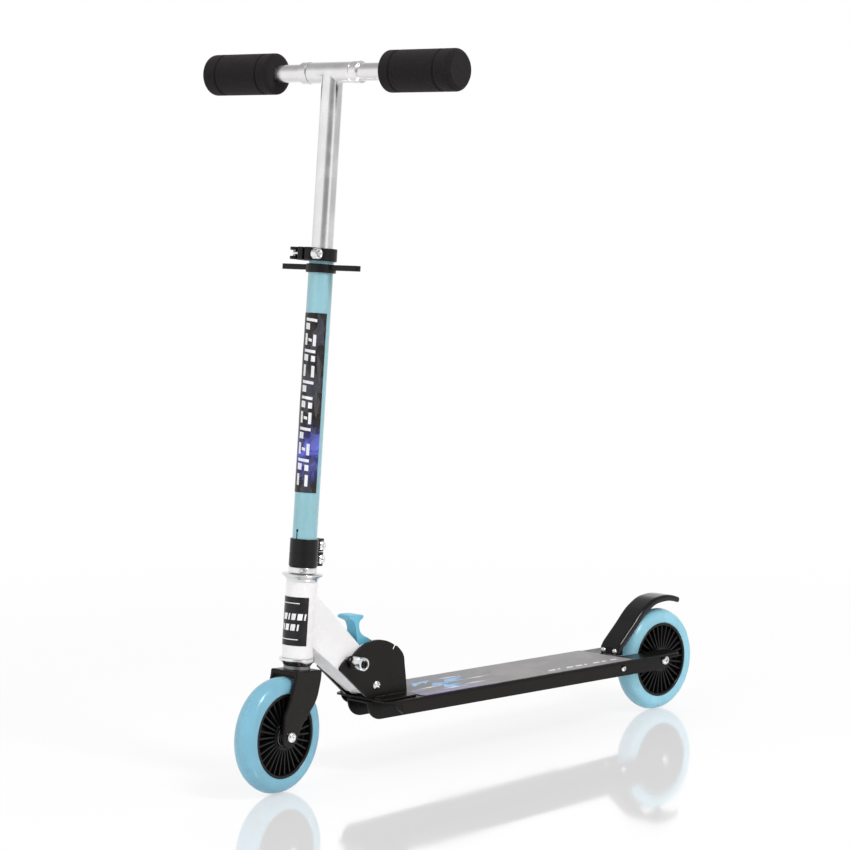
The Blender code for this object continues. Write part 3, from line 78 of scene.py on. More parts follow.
# ---- Shared places ------------------------------------------------------------------------
@dataclass(frozen=True)
class Layout:
    """Places that several sub-assemblies share, in metres and radians."""

    front_axle_x: float = 0.30034
    wheelbase: float = 0.600
    wheel_radius: float = 0.060
    rake: float = math.radians(5.34)
    steer: float = math.radians(8.1)
    stem_foot_x: float = 0.28124
    deck_x: float = 0.17934
    deck_z: float = 0.0815
    deck_slope: float = math.radians(1.015)
    pivot_x: float = 0.17384
    pivot_z: float = 0.0962
    latch_x: float = 0.18784
    latch_z: float = 0.1365
    brake_x: float = -0.22566
    brake_z: float = 0.060

    @property
    def stem(self) -> Matrix:
        """Returns the frame of the head tube, with Z up along it."""
        return shift(self.stem_foot_x) @ Matrix.Rotation(-self.rake, 4, "Y")

    @property
    def steered(self) -> Matrix:
        """Returns the frame that turns with the handlebar."""
        return self.stem @ Matrix.Rotation(self.steer, 4, "Z")

    @property
    def deck(self) -> Matrix:
        """Returns the deck's sloping frame, with its origin at the nose."""
        return shift(self.deck_x, 0.0, self.deck_z) @ Matrix.Rotation(-self.deck_slope, 4, "Y")

    @property
    def pivot(self) -> Matrix:
        """Returns the frame of the fold pivot."""
        return shift(self.pivot_x, 0.0, self.pivot_z)

    @property
    def latch(self) -> Matrix:
        """Returns the frame of the latch's pin."""
        return shift(self.latch_x, 0.0, self.latch_z)

    @property
    def brake(self) -> Matrix:
        """Returns the frame of the brake's bolt."""
        return shift(self.brake_x, 0.0, self.brake_z)

    @property
    def front_axle(self) -> Matrix:
        """Returns the front wheel's frame, with Y along its axle."""
        spot = self.stem.inverted() @ Vector((self.front_axle_x, 0.0, self.wheel_radius))
        return self.steered @ shift(spot.x, 0.0, spot.z)

    @property
    def rear_axle(self) -> Matrix:
        """Returns the rear wheel's frame, with Y along its axle."""
        return shift(self.front_axle_x - self.wheelbase, 0.0, self.wheel_radius)


PLAN = Layout()


# ---- Outlines -----------------------------------------------------------------------------
class Sketch:
    """Plane outlines for plates and turned profiles."""

    @staticmethod
    def arc(centre: Point, radius: float, start: float, end: float, count: int) -> list[Point]:
        """Returns points on an arc.

        Args:
            centre: Middle of the arc.
            radius: Radius of the arc.
            start: First angle, in degrees.
            end: Last angle, in degrees.
            count: Number of points, both ends included.

        Returns:
            The points in order.
        """
        points = []
        for index in range(count):
            angle = math.radians(start + (end - start) * index / (count - 1))
            points.append((centre[0] + radius * math.cos(angle), centre[1] + radius * math.sin(angle)))
        return points

    @staticmethod
    def circle(centre: Point, radius: float, count: int = 48) -> list[Point]:
        """Returns a closed circle of points."""
        return Sketch.arc(centre, radius, 0.0, 360.0 * (count - 1) / count, count)

    @staticmethod
    def slot(first: Point, second: Point, radius: float, count: int = 12) -> list[Point]:
        """Returns the outline of a slot with round ends."""
        heading = math.degrees(math.atan2(second[1] - first[1], second[0] - first[0]))
        far = Sketch.arc(second, radius, heading - 90, heading + 90, count)
        return far + Sketch.arc(first, radius, heading + 90, heading + 270, count)

    @staticmethod
    def fillet(points: list[Point], radius: float, steps: int = 4, closed: bool = True) -> list[Point]:
        """Rounds the corners of an outline.

        Args:
            points: The outline's corners.
            radius: Reach of each rounding along its two sides.
            steps: Number of pieces in each rounding.
            closed: Whether the outline's ends meet.

        Returns:
            The rounded outline.
        """
        rounded = []
        last = len(points) - 1
        for index, point in enumerate(points):
            if not closed and index in (0, last):
                rounded.append(point)
                continue
            corner = Vector(point)
            before = Vector(points[index - 1]) - corner
            after = Vector(points[(index + 1) % len(points)]) - corner
            reach = min(radius, 0.46 * before.length, 0.46 * after.length)
            start = corner + before.normalized() * reach
            end = corner + after.normalized() * reach
            for step in range(steps + 1):
                share = step / steps
                spot = start * (1 - share) ** 2 + corner * 2 * share * (1 - share) + end * share**2
                rounded.append((spot.x, spot.y))
        return rounded

    @staticmethod
    def flowing(points: list[Point], steps: int) -> list[Point]:
        """Runs a smooth line through the points, with some steps between each pair."""
        line = []
        last = len(points) - 1
        for index in range(last):
            a = Vector(points[max(index - 1, 0)])
            b = Vector(points[index])
            c = Vector(points[index + 1])
            d = Vector(points[min(index + 2, last)])
            for step in range(steps):
                t = step / steps
                bend, twist = 2 * a - 5 * b + 4 * c - d, 3 * b - a - 3 * c + d
                spot = 2 * b + (c - a) * t + bend * t**2 + twist * t**3
                line.append((spot.x / 2, spot.y / 2))
        return line + [points[last]]

    @staticmethod
    def headings(line: list[Point]) -> list[Vector]:
        """Returns the line's direction at each of its points."""
        ends = [Vector(point) for point in (line[0], *line, line[-1])]
        return [(after - before).normalized() for before, after in zip(ends, ends[2:])]

    @staticmethod
    def doubled(points: list[Point]) -> list[Point]:
        """Returns the points followed by their mirror image below the first axis."""
        return points + [(across, -up) for across, up in reversed(points)]

    @staticmethod
    def polar(arm: float, angle: float) -> Point:
        """Returns a point by its distance and its angle in degrees."""
        return (arm * math.cos(math.radians(angle)), arm * math.sin(math.radians(angle)))


# ---- Finishes -----------------------------------------------------------------------------
class Graph:
    """A shader's node tree, with short calls for its usual nodes."""

    def __init__(self, name: str, owners: object = None) -> None:
        """Makes a material, or something else that has shader nodes.

        Args:
            name: Its name.
            owners: The collection that it is made in, or None for the materials.
        """
        self.owner = (bpy.data.materials if owners is None else owners).new(name)
        self.owner.use_nodes = True
        self.nodes = self.owner.node_tree.nodes
        self.links = self.owner.node_tree.links
        self.place = self.add("TexCoord").outputs["Object"]

    def add(self, kind: str, *sources: object, **values: object) -> bpy.types.Node:
        """Adds a node and feeds its inputs, in order and by names with underscores."""
        node = self.nodes.new("ShaderNode" + kind)
        for source, socket in zip(sources, node.inputs):
            self.join(source, socket)
        for key, value in values.items():
            self.join(value, node.inputs[key.replace("_", " ")])
        return node

    def join(self, source: object, socket: Socket) -> None:
        """Feeds a socket from another socket, or sets its value."""
        if isinstance(source, Socket):
            self.links.new(source, socket)
        else:
            socket.default_value = source

    def stretched(self, scale: Triple) -> Socket:
        """Returns the object's coordinates with each axis scaled."""
        node = self.add("VectorMath", self.place, scale)
        node.operation = "MULTIPLY"
        return node.outputs[0]

    def noise(
        self, scale: float, detail: float = 3.0, place: object = None, offset: float = 0.0
    ) -> Socket:
        """Returns a noise value.

        Args:
            scale: Lumps for each metre.
            detail: Number of finer layers.
            place: Coordinates, or None for the object's own.
            offset: Distortion of the noise.

        Returns:
            The noise's output socket.
        """
        node = self.add("TexNoise", place or self.place, Scale=scale, Detail=detail, Distortion=offset)
        return node.outputs[0]

    def cells(self, scale: float, place: object = None) -> Socket:
        """Returns the distance to the nearest of many scattered points."""
        return self.add("TexVoronoi", place or self.place, Scale=scale).outputs["Distance"]

    def math(self, operation: str, first: object, second: object = 0.0) -> Socket:
        """Returns the result of a sum on one or two values."""
        node = self.add("Math", first, second)
        node.operation = operation
        return node.outputs[0]

    def span(
        self, source: object, low: float, high: float, start: float = 0.0, end: float = 1.0
    ) -> Socket:
        """Maps a value from one range to another, held at both ends.

        Args:
            source: The value.
            low: Value that becomes start.
            high: Value that becomes end.
            start: Result at low.
            end: Result at high.

        Returns:
            The mapped value's socket.
        """
        node = self.add("MapRange", source, From_Min=low, From_Max=high, To_Min=start, To_Max=end)
        node.interpolation_type = "SMOOTHSTEP"
        return node.outputs["Result"]

    def axis(self, letter: str) -> Socket:
        """Returns one of the coordinates."""
        return self.add("SeparateXYZ", self.place).outputs[letter]

    def blend(self, share: object, first: object, second: object) -> Socket:
        """Mixes two colours, each a socket or an RGB triple."""
        node = self.add("Mix", share)
        node.data_type = "RGBA"
        for source, socket in ((first, node.inputs[6]), (second, node.inputs[7])):
            self.join(source if isinstance(source, Socket) else (*source, 1.0), socket)
        return node.outputs[2]

    def tint(self, color: object, ink: Triple, *shares: object) -> Socket:
        """Mixes an ink over a colour by the product of two shares."""
        return self.blend(self.math("MULTIPLY", *shares), color, ink)

    def bump(self, height: object, distance: float, below: object = None) -> Socket:
        """Returns a surface direction shaken by a height, over another bump if there is one."""
        node = self.add("Bump", Strength=1.0, Distance=distance, Height=height)
        if below is not None:
            self.join(below, node.inputs["Normal"])
        return node.outputs["Normal"]

    def dress(self, **values: object) -> None:
        """Sets the shader's sockets, with their names written with underscores."""
        for key, value in values.items():
            self.join(value, self.nodes["Principled BSDF"].inputs[key.replace("_", " ")])


@dataclass(frozen=True)
class Finish:
    """A surface finish, which becomes one material."""

    name: str
    color: Triple

    def graph(self) -> Graph:
        """Returns the finish's node tree; each kind of finish has its own."""
        raise NotImplementedError

    def material(self) -> bpy.types.Material:
        """Returns the material, made the first time that it is asked for."""
        found = bpy.data.materials.get(self.name)
        return found or self.graph().owner

    def shade(self, share: float) -> Triple:
        """Returns the colour made lighter or darker."""
        return tuple(min(1.0, channel * share) for channel in self.color)


@dataclass(frozen=True)
class Paint(Finish):
    """Sprayed paint or powder coat with orange peel, faint grime and rubbed patches."""

    roughness: float = 0.3
    peel: float = 0.00002
    coat: float = 0.0
    specular: float = 0.5

    def graph(self) -> Graph:
        """Builds the paint's nodes."""
        tree = Graph(self.name)
        broad = tree.noise(28.0, 4.0)
        fine = tree.noise(900.0, 2.0)
        streaks = tree.noise(60.0, 5.0, tree.stretched((1.0, 6.0, 1.0)), 0.4)
        color = tree.blend(tree.span(broad, 0.35, 0.7), self.shade(0.955), self.shade(1.03))
        color = tree.blend(tree.span(streaks, 0.66, 0.78, 0.0, 0.25), color, self.shade(0.8))
        rough = tree.math("ADD", tree.span(streaks, 0.3, 0.75, -0.05, 0.09), self.roughness)
        normal = tree.bump(fine, self.peel)
        tree.dress(Base_Color=color, Roughness=rough, Normal=normal)
        tree.dress(Coat_Weight=self.coat, Coat_Roughness=0.11, Specular_IOR_Level=self.specular)
        return tree


@dataclass(frozen=True)
class Metal(Finish):
    """Bright metal with drawing lines, haze and small marks."""

    roughness: float = 0.12
    grain: Triple = (1.0, 1.0, 0.02)
    marks: float = 0.000008

    def graph(self) -> Graph:
        """Builds the metal's nodes."""
        tree = Graph(self.name)
        lines = tree.noise(1800.0, 2.0, tree.stretched(self.grain))
        haze = tree.noise(45.0, 5.0)
        spots = tree.noise(420.0, 2.0)
        color = tree.blend(tree.span(haze, 0.4, 0.7), self.shade(0.93), self.shade(1.04))
        color = tree.blend(tree.span(spots, 0.68, 0.74, 0.0, 0.3), color, self.shade(0.6))
        rough = tree.math("ADD", tree.span(haze, 0.35, 0.72, -0.03, 0.07), self.roughness)
        rough = tree.math("ADD", rough, tree.span(lines, 0.3, 0.7, 0.0, 0.04))
        tree.dress(Base_Color=color, Metallic=1.0, Roughness=rough, Normal=tree.bump(lines, self.marks))
        return tree


@dataclass(frozen=True)
class Urethane(Finish):
    """Cast tyre polymer that light sinks into a little, scuffed on its tread."""

    axle: Triple = (0.0, 0.0, 0.0)

    def graph(self) -> Graph:
        """Builds the tyre's nodes."""
        tree = Graph(self.name)
        broad = tree.noise(32.0, 4.0)
        fine = tree.noise(1300.0, 3.0)
        scuffs = tree.noise(240.0, 4.0, tree.stretched((1.0, 5.0, 1.0)), 0.6)
        away = tree.add("VectorMath", tree.stretched((1.0, 0.0, 1.0)), self.axle)
        away.operation = "DISTANCE"
        tread = tree.span(away.outputs["Value"], 0.0572, 0.0596)
        worn = tree.math("MULTIPLY", tread, tree.span(scuffs, 0.45, 0.7))
        color = tree.blend(tree.span(broad, 0.35, 0.7), self.shade(0.95), self.shade(1.05))
        color = tree.tint(color, (0.42, 0.50, 0.52), worn, 0.18)
        rough = tree.math("ADD", tree.math("MULTIPLY", worn, 0.22), tree.span(broad, 0.3, 0.7, 0.20, 0.28))
        tree.dress(Base_Color=color, Roughness=rough, Normal=tree.bump(fine, 0.000025))
        tree.dress(Subsurface_Weight=0.12, Subsurface_Scale=0.003)
        return tree


@dataclass(frozen=True)
class Plastic(Finish):
    """Moulded plastic with a fine spark-eroded texture."""

    roughness: float = 0.42
    texture: float = 0.00003
    specular: float = 0.5

    def graph(self) -> Graph:
        """Builds the plastic's nodes."""
        tree = Graph(self.name)
        fine = tree.noise(2400.0, 2.0)
        broad = tree.noise(40.0, 4.0)
        flow = tree.noise(90.0, 3.0, tree.stretched((1.0, 1.0, 0.15)), 1.0)
        color = tree.blend(tree.span(flow, 0.4, 0.7), self.shade(0.9), self.shade(1.12))
        rough = tree.math("ADD", tree.span(broad, 0.3, 0.7, -0.05, 0.06), self.roughness)
        tree.dress(Base_Color=color, Roughness=rough, Normal=tree.bump(fine, self.texture))
        tree.dress(Specular_IOR_Level=self.specular)
        return tree


@dataclass(frozen=True)
class Foam(Finish):
    """Closed-cell foam with open pores on its ground skin."""

    def graph(self) -> Graph:
        """Builds the foam's nodes."""
        tree = Graph(self.name)
        pores = tree.cells(1500.0)
        lumps = tree.noise(700.0, 4.0)
        broad = tree.noise(45.0, 3.0)
        color = tree.blend(tree.span(lumps, 0.4, 0.72), self.shade(0.75), self.shade(1.6))
        color = tree.blend(tree.span(broad, 0.4, 0.7, 0.0, 0.4), color, self.shade(1.35))
        normal = tree.bump(lumps, 0.0003, tree.bump(tree.span(pores, 0.1, 0.5), 0.00018))
        tree.dress(Base_Color=color, Roughness=0.88, Normal=normal)
        tree.dress(Sheen_Weight=0.05, Sheen_Roughness=0.6, Specular_IOR_Level=0.2)
        return tree


@dataclass(frozen=True)
class GripSheet(Finish):
    """Printed anti-slip sheet: hard grit over a night-sky print."""

    def graph(self) -> Graph:
        """Builds the sheet's nodes."""
        tree = Graph(self.name)
        grit = tree.cells(1900.0)
        grain = tree.noise(1500.0, 3.0)
        cloud = tree.noise(22.0, 6.0, None, 0.9)
        wisps = tree.noise(48.0, 6.0, tree.stretched((0.6, 1.6, 1.0)), 1.6)
        along = tree.axis("X")
        sideways = tree.axis("Y")
        front = tree.span(along, -0.030, 0.085)
        color = tree.blend(tree.span(cloud, 0.38, 0.72), (0.060, 0.051, 0.048), (0.150, 0.132, 0.126))
        violet = tree.math("MULTIPLY", front, tree.span(cloud, 0.42, 0.62))
        color = tree.tint(color, (0.065, 0.042, 0.210), violet, 0.85)
        blue = tree.math("MULTIPLY", front, tree.span(wisps, 0.54, 0.68))
        color = tree.tint(color, (0.16, 0.28, 0.62), blue, 0.6)
        edge = tree.math("MULTIPLY", tree.span(sideways, 0.024, 0.038), tree.span(along, 0.02, 0.11))
        color = tree.tint(color, (0.16, 0.10, 0.33), edge, 0.55)
        stars = tree.span(tree.cells(260.0), 0.10, 0.06)
        stars = tree.math("MULTIPLY", stars, tree.span(tree.noise(60.0), 0.5, 0.62))
        color = tree.tint(color, (0.62, 0.66, 0.74), stars, 0.55)
        color = tree.blend(tree.span(grain, 0.62, 0.78, 0.0, 0.45), color, (0.22, 0.21, 0.22))
        normal = tree.bump(grain, 0.00007, tree.bump(tree.span(grit, 0.0, 0.45), 0.00005))
        tree.dress(Base_Color=color, Roughness=tree.span(grain, 0.35, 0.7, 0.42, 0.60), Normal=normal)
        tree.dress(Sheen_Weight=0.62, Sheen_Roughness=0.4)
        return tree


@dataclass(frozen=True)
class Film(Finish):
    """Printed film: dark ground with specks, grey shards and a glow between two heights."""

    glow_low: float = 0.0
    glow_high: float = 0.0

    def graph(self) -> Graph:
        """Builds the film's nodes."""
        tree = Graph(self.name)
        height = tree.axis("Z")
        cloud = tree.noise(70.0, 5.0, None, 0.8)
        shard = tree.cells(95.0, tree.stretched((1.0, 1.0, 0.5)))
        color = tree.blend(tree.span(cloud, 0.4, 0.7), self.color, self.shade(2.2))
        if self.glow_high > self.glow_low:
            middle = (self.glow_low + self.glow_high) / 2
            reach = (self.glow_high - self.glow_low) / 2
            away = tree.math("ABSOLUTE", tree.math("SUBTRACT", height, middle))
            glow = tree.span(away, reach * 1.2, reach * 0.25)
            lit = tree.blend(tree.span(cloud, 0.4, 0.62), (0.030, 0.028, 0.16), (0.13, 0.15, 0.66))
            color = tree.blend(glow, color, lit)
            color = tree.blend(tree.span(shard, 0.56, 0.62, 0.0, 0.35), color, (0.10, 0.11, 0.15))
            specks = tree.span(tree.cells(720.0), 0.13, 0.08)
            specks = tree.math("MULTIPLY", specks, tree.span(tree.noise(130.0), 0.48, 0.58))
            color = tree.tint(color, (0.72, 0.75, 0.82), specks, 0.9)
        rough = tree.span(cloud, 0.3, 0.7, 0.22, 0.32)
        tree.dress(Base_Color=color, Roughness=rough, Normal=tree.bump(tree.noise(500.0), 0.000008))
        tree.dress(Coat_Weight=0.0, Specular_IOR_Level=0.35)
        return tree


class Look(Enum):
    """The finishes that the scooter's pieces are given."""

    BLACK_PAINT = Paint("satin_black_paint", (0.0075, 0.0062, 0.0052), 0.30, 0.00002, 0.0, 0.20)
    GLOSS_BLACK = Paint("gloss_black_paint", (0.0028, 0.0020, 0.0024), 0.24, 0.00001, 0.55, 0.10)
    WHITE_PAINT = Paint("white_paint", (0.90, 0.89, 0.89), 0.22, 0.00001, 0.3)
    BLUE_PAINT = Paint("sky_blue_paint", (0.275, 0.520, 0.585), 0.20, 0.00001, 0.4)
    BLUE_LEVER = Paint("blue_lever_paint", (0.155, 0.520, 0.700), 0.34)
    CHROME = Metal("polished_chrome", (0.87, 0.86, 0.86), 0.19, (1.0, 1.0, 0.02), 0.0000006)
    ZINC = Metal("bright_zinc", (0.90, 0.90, 0.90), 0.20, (1.0, 1.0, 1.0), 0.000004)
    STEEL = Metal("spring_steel", (0.42, 0.42, 0.44), 0.34, (1.0, 1.0, 1.0), 0.00002)
    DARK_STEEL = Metal("dark_steel", (0.24, 0.235, 0.235), 0.26, (1.0, 1.0, 1.0), 0.000004)
    # The front tyre is the rear tyre's urethane coloured darker; the darker colour is painted shade.
    FRONT_TYRE = Urethane("front_tyre_polymer", (0.215, 0.490, 0.625), (0.3001, 0.0, 0.0600))
    REAR_TYRE = Urethane("rear_tyre_polymer", (0.330, 0.680, 0.820), (-0.29966, 0.0, 0.0600))
    PLASTIC = Plastic("moulded_black_plastic", (0.0066, 0.0056, 0.0060), 0.32, 0.00002, 0.26)
    FOAM = Foam("grip_foam", (0.0092, 0.0072, 0.0078))
    GRIP_SHEET = GripSheet("printed_grip_sheet", (0.05, 0.05, 0.05))
    TUBE_FILM = Film("tube_print", (0.0115, 0.0090, 0.0080), 0.318, 0.376)
    HEAD_FILM = Film("head_print", (0.0065, 0.0060, 0.0062))
    WHITE_PRINT = Plastic("white_print", (0.83, 0.84, 0.86), 0.35, 0.000004)
    CYAN_PRINT = Plastic("pale_blue_print", (0.30, 0.56, 0.86), 0.5, 0.00003)
    GREY_PRINT = Plastic("grey_blue_print", (0.060, 0.056, 0.060), 0.4, 0.000004)

    @property
    def material(self) -> bpy.types.Material:
        """Returns the finish's material."""
        return self.value.material()


# ---- Mesh bench ---------------------------------------------------------------------------
class Bench:
    """Makes meshes whose place is in their points, and hands them to the frame."""

    @staticmethod
    def add(name: str, shape: bmesh.types.BMesh, matrix: Matrix) -> Piece:
        """Turns a bmesh into an object at the origin.

        Args:
            name: Name of the object.
            shape: The shape, which is freed.
            matrix: Where the shape goes.

        Returns:
            The object.
        """
        shape.transform(matrix)
        bmesh.ops.recalc_face_normals(shape, faces=shape.faces)
        mesh = bpy.data.meshes.new(name)
        shape.to_mesh(mesh)
        shape.free()
        return shown(name, mesh)

    @staticmethod
    def skin(shape: bmesh.types.BMesh, rows: list, closed: bool = True) -> None:
        """Fills the faces between neighbouring rows of points."""
        for first, second in zip(rows, rows[1:]):
            for step in range(len(first) if closed else len(first) - 1):
                after = (step + 1) % len(first)
                corners = (first[step], second[step], second[after], first[after])
                unique = list(dict.fromkeys(corners))
                if len(unique) > 2:
                    shape.faces.new(unique)

    @staticmethod
    def turned(
        name: str, profile: list[Point], matrix: Matrix, steps: int = 96, ring: bool = True
    ) -> Piece:
        """Turns a profile of radii and heights about the local Z axis.

        Args:
            name: Name of the object.
            profile: The profile; a ring closes on itself, otherwise it starts and ends on the axis.
            matrix: Where the shape goes.
            steps: Number of steps round.
            ring: Whether the profile closes on itself.

        Returns:
            The object.
        """
        shape = bmesh.new()
        rows = []
        for radius, height in profile:
            if radius < 1e-7:
                rows.append([shape.verts.new((0.0, 0.0, height))] * steps)
                continue
            turn = [2 * math.pi * step / steps for step in range(steps)]
            points = [(radius * math.cos(angle), radius * math.sin(angle), height) for angle in turn]
            rows.append([shape.verts.new(point) for point in points])
        Bench.skin(shape, rows + rows[:1] if ring else rows)
        obj = Bench.add(name, shape, matrix)
        Bench.smooth(obj)
        return obj

    @staticmethod
    def plate(
        name: str,
        loops: list[list[Point]],
        thickness: float,
        matrix: Matrix,
        bevel: float = 0.0,
        steps: int = 3,
    ) -> Piece:
        """Cuts a plate from outlines, evenly about their plane.

        Args:
            name: Name of the object.
            loops: The edge, then any holes.
            thickness: The plate's thickness.
            matrix: Where the plate goes.
            bevel: Rounding of its edges.
            steps: Number of pieces in each rounding.

        Returns:
            The object.
        """
        curve = bpy.data.curves.new(name, "CURVE")
        curve.dimensions = "2D"
        curve.fill_mode = "BOTH"
        curve.extrude = thickness / 2
        for loop in loops:
            spline = curve.splines.new("POLY")
            spline.points.add(len(loop) - 1)
            for point, corner in zip(spline.points, loop):
                point.co = (corner[0], corner[1], 0.0, 1.0)
            spline.use_cyclic_u = True
        obj = Bench.from_curve(name, curve, matrix)
        return Bench.soften(obj, bevel, steps)

    @staticmethod
    def from_curve(name: str, curve: bpy.types.Curve, matrix: Matrix) -> Piece:
        """Turns a curve into a welded mesh object."""
        drawn = shown(name + "_curve", curve)
        mesh = Bench.worked_out(drawn)
        shape = bmesh.new()
        shape.from_mesh(mesh)
        bmesh.ops.remove_doubles(shape, verts=shape.verts, dist=1e-6)
        bmesh.ops.dissolve_limit(
            shape, angle_limit=math.radians(0.5), verts=shape.verts, edges=shape.edges, delimit=set()
        )
        bpy.data.objects.remove(drawn, do_unlink=True)
        bpy.data.meshes.remove(mesh)
        return Bench.add(name, shape, matrix)

    @staticmethod
    def wire(name: str, points: list[Triple], radius: float, matrix: Matrix) -> Piece:
        """Runs a round wire with closed ends through the points.

        Args:
            name: Name of the object.
            points: The wire's middle.
            radius: The wire's radius.
            matrix: Where the wire goes.

        Returns:
            The object.
        """
        curve = bpy.data.curves.new(name, "CURVE")
        curve.dimensions = "3D"
        curve.bevel_depth = radius
        curve.bevel_resolution = 2
        curve.use_fill_caps = True
        spline = curve.splines.new("POLY")
        spline.points.add(len(points) - 1)
        for point, corner in zip(spline.points, points):
            point.co = (*corner, 1.0)
        obj = Bench.from_curve(name, curve, matrix)
        Bench.smooth(obj, 50.0)
        return obj

    @staticmethod
    def rod(
        name: str, radius: float, start: float, end: float, matrix: Matrix, steps: int = 48
    ) -> Piece:
        """Adds a plain cylinder along the local Z axis."""
        profile = [(0.0, end), (radius, end), (radius, start), (0.0, start)]
        return Bench.turned(name, profile, matrix, steps, ring=False)

    @staticmethod
    def block(name: str, low: Triple, high: Triple, matrix: Matrix, bevel: float = 0.0) -> Piece:
        """Adds a box between two opposite corners, with rounded edges if asked."""
        shape = bmesh.new()
        size = [top - bottom for bottom, top in zip(low, high)]
        middle = Vector([(bottom + top) / 2 for bottom, top in zip(low, high)])
        bmesh.ops.create_cube(shape, size=1.0, matrix=shift(*middle) @ Matrix.Diagonal((*size, 1.0)))
        return Bench.soften(Bench.add(name, shape, matrix), bevel, 3)

    @staticmethod
    def worked_out(obj: Piece) -> bpy.types.Mesh:
        """Returns a new mesh with the object's shape after its modifiers."""
        bpy.context.view_layer.update()
        final = obj.evaluated_get(bpy.context.evaluated_depsgraph_get())
        return bpy.data.meshes.new_from_object(final)

    @staticmethod
    def bake(obj: Piece) -> Piece:
        """Applies the object's modifiers to its mesh."""
        mesh = Bench.worked_out(obj)
        old = obj.data
        obj.modifiers.clear()
        obj.data = mesh
        mesh.name = obj.name
        bpy.data.meshes.remove(old)
        return obj

    @staticmethod
    def carve(obj: Piece, other: Piece, operation: str = "DIFFERENCE") -> None:
        """Cuts the other shape out of the object, or joins it on, and removes the other."""
        step = obj.modifiers.new("carve", "BOOLEAN")
        step.operation = operation
        step.solver = "EXACT"
        step.object = other
        Bench.bake(obj)
        bpy.data.objects.remove(other, do_unlink=True)

    @staticmethod
    def soften(
        obj: Piece, width: float = 0.0, steps: int = 3, angle: float = 32.0
    ) -> Piece:
        """Rounds the sharp edges and shades the faces between them smooth.

        Args:
            obj: The object.
            width: Rounding, or 0 for none.
            steps: Number of pieces in each rounding.
            angle: Edges sharper than this, in degrees, are rounded.

        Returns:
            The object.
        """
        if width > 0.0:
            bevel = obj.modifiers.new("round", "BEVEL")
            bevel.width = width
            bevel.segments = steps
            bevel.limit_method = "ANGLE"
            bevel.angle_limit = math.radians(angle)
            Bench.bake(obj)
        Bench.smooth(obj)
        weigh = obj.modifiers.new("weigh", "WEIGHTED_NORMAL")
        weigh.keep_sharp = True
        return Bench.bake(obj)

    @staticmethod
    def smooth(obj: Piece, angle: float = 34.0) -> None:
        """Shades the object smooth, apart from edges sharper than an angle in degrees."""
        obj.data.polygons.foreach_set("use_smooth", [True] * len(obj.data.polygons))
        obj.data.set_sharp_from_angle(angle=math.radians(angle))

    @staticmethod
    def merge(name: str, pieces: list[Piece]) -> Piece:
        """Puts every piece's faces into the first piece and gives it the name."""
        shape = bmesh.new()
        for source in pieces:
            shape.from_mesh(source.data)
        first, *others = pieces
        shape.to_mesh(first.data)
        shape.free()
        for other in others:
            bpy.data.objects.remove(other, do_unlink=True)
        first.name = name
        Bench.smooth(first)
        return first

    @staticmethod
    def settle(
        obj: Piece, look: Look, body: str, *nodes: str, slot: str = ""
    ) -> Piece:
        """Dresses a piece and ties it to the frame.

        Args:
            obj: The piece.
            look: Its finish.
            body: The body that it rides on.
            nodes: The CAD nodes that it stands for.
            slot: Not used.

        Returns:
            The piece.
        """
        obj.data.materials.clear()
        obj.data.materials.append(look.material)
        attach(obj, body)
        if nodes:
            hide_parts(*nodes)
        LOG.info("%s on %s, %d faces", obj.name, body, len(obj.data.polygons))
        return obj


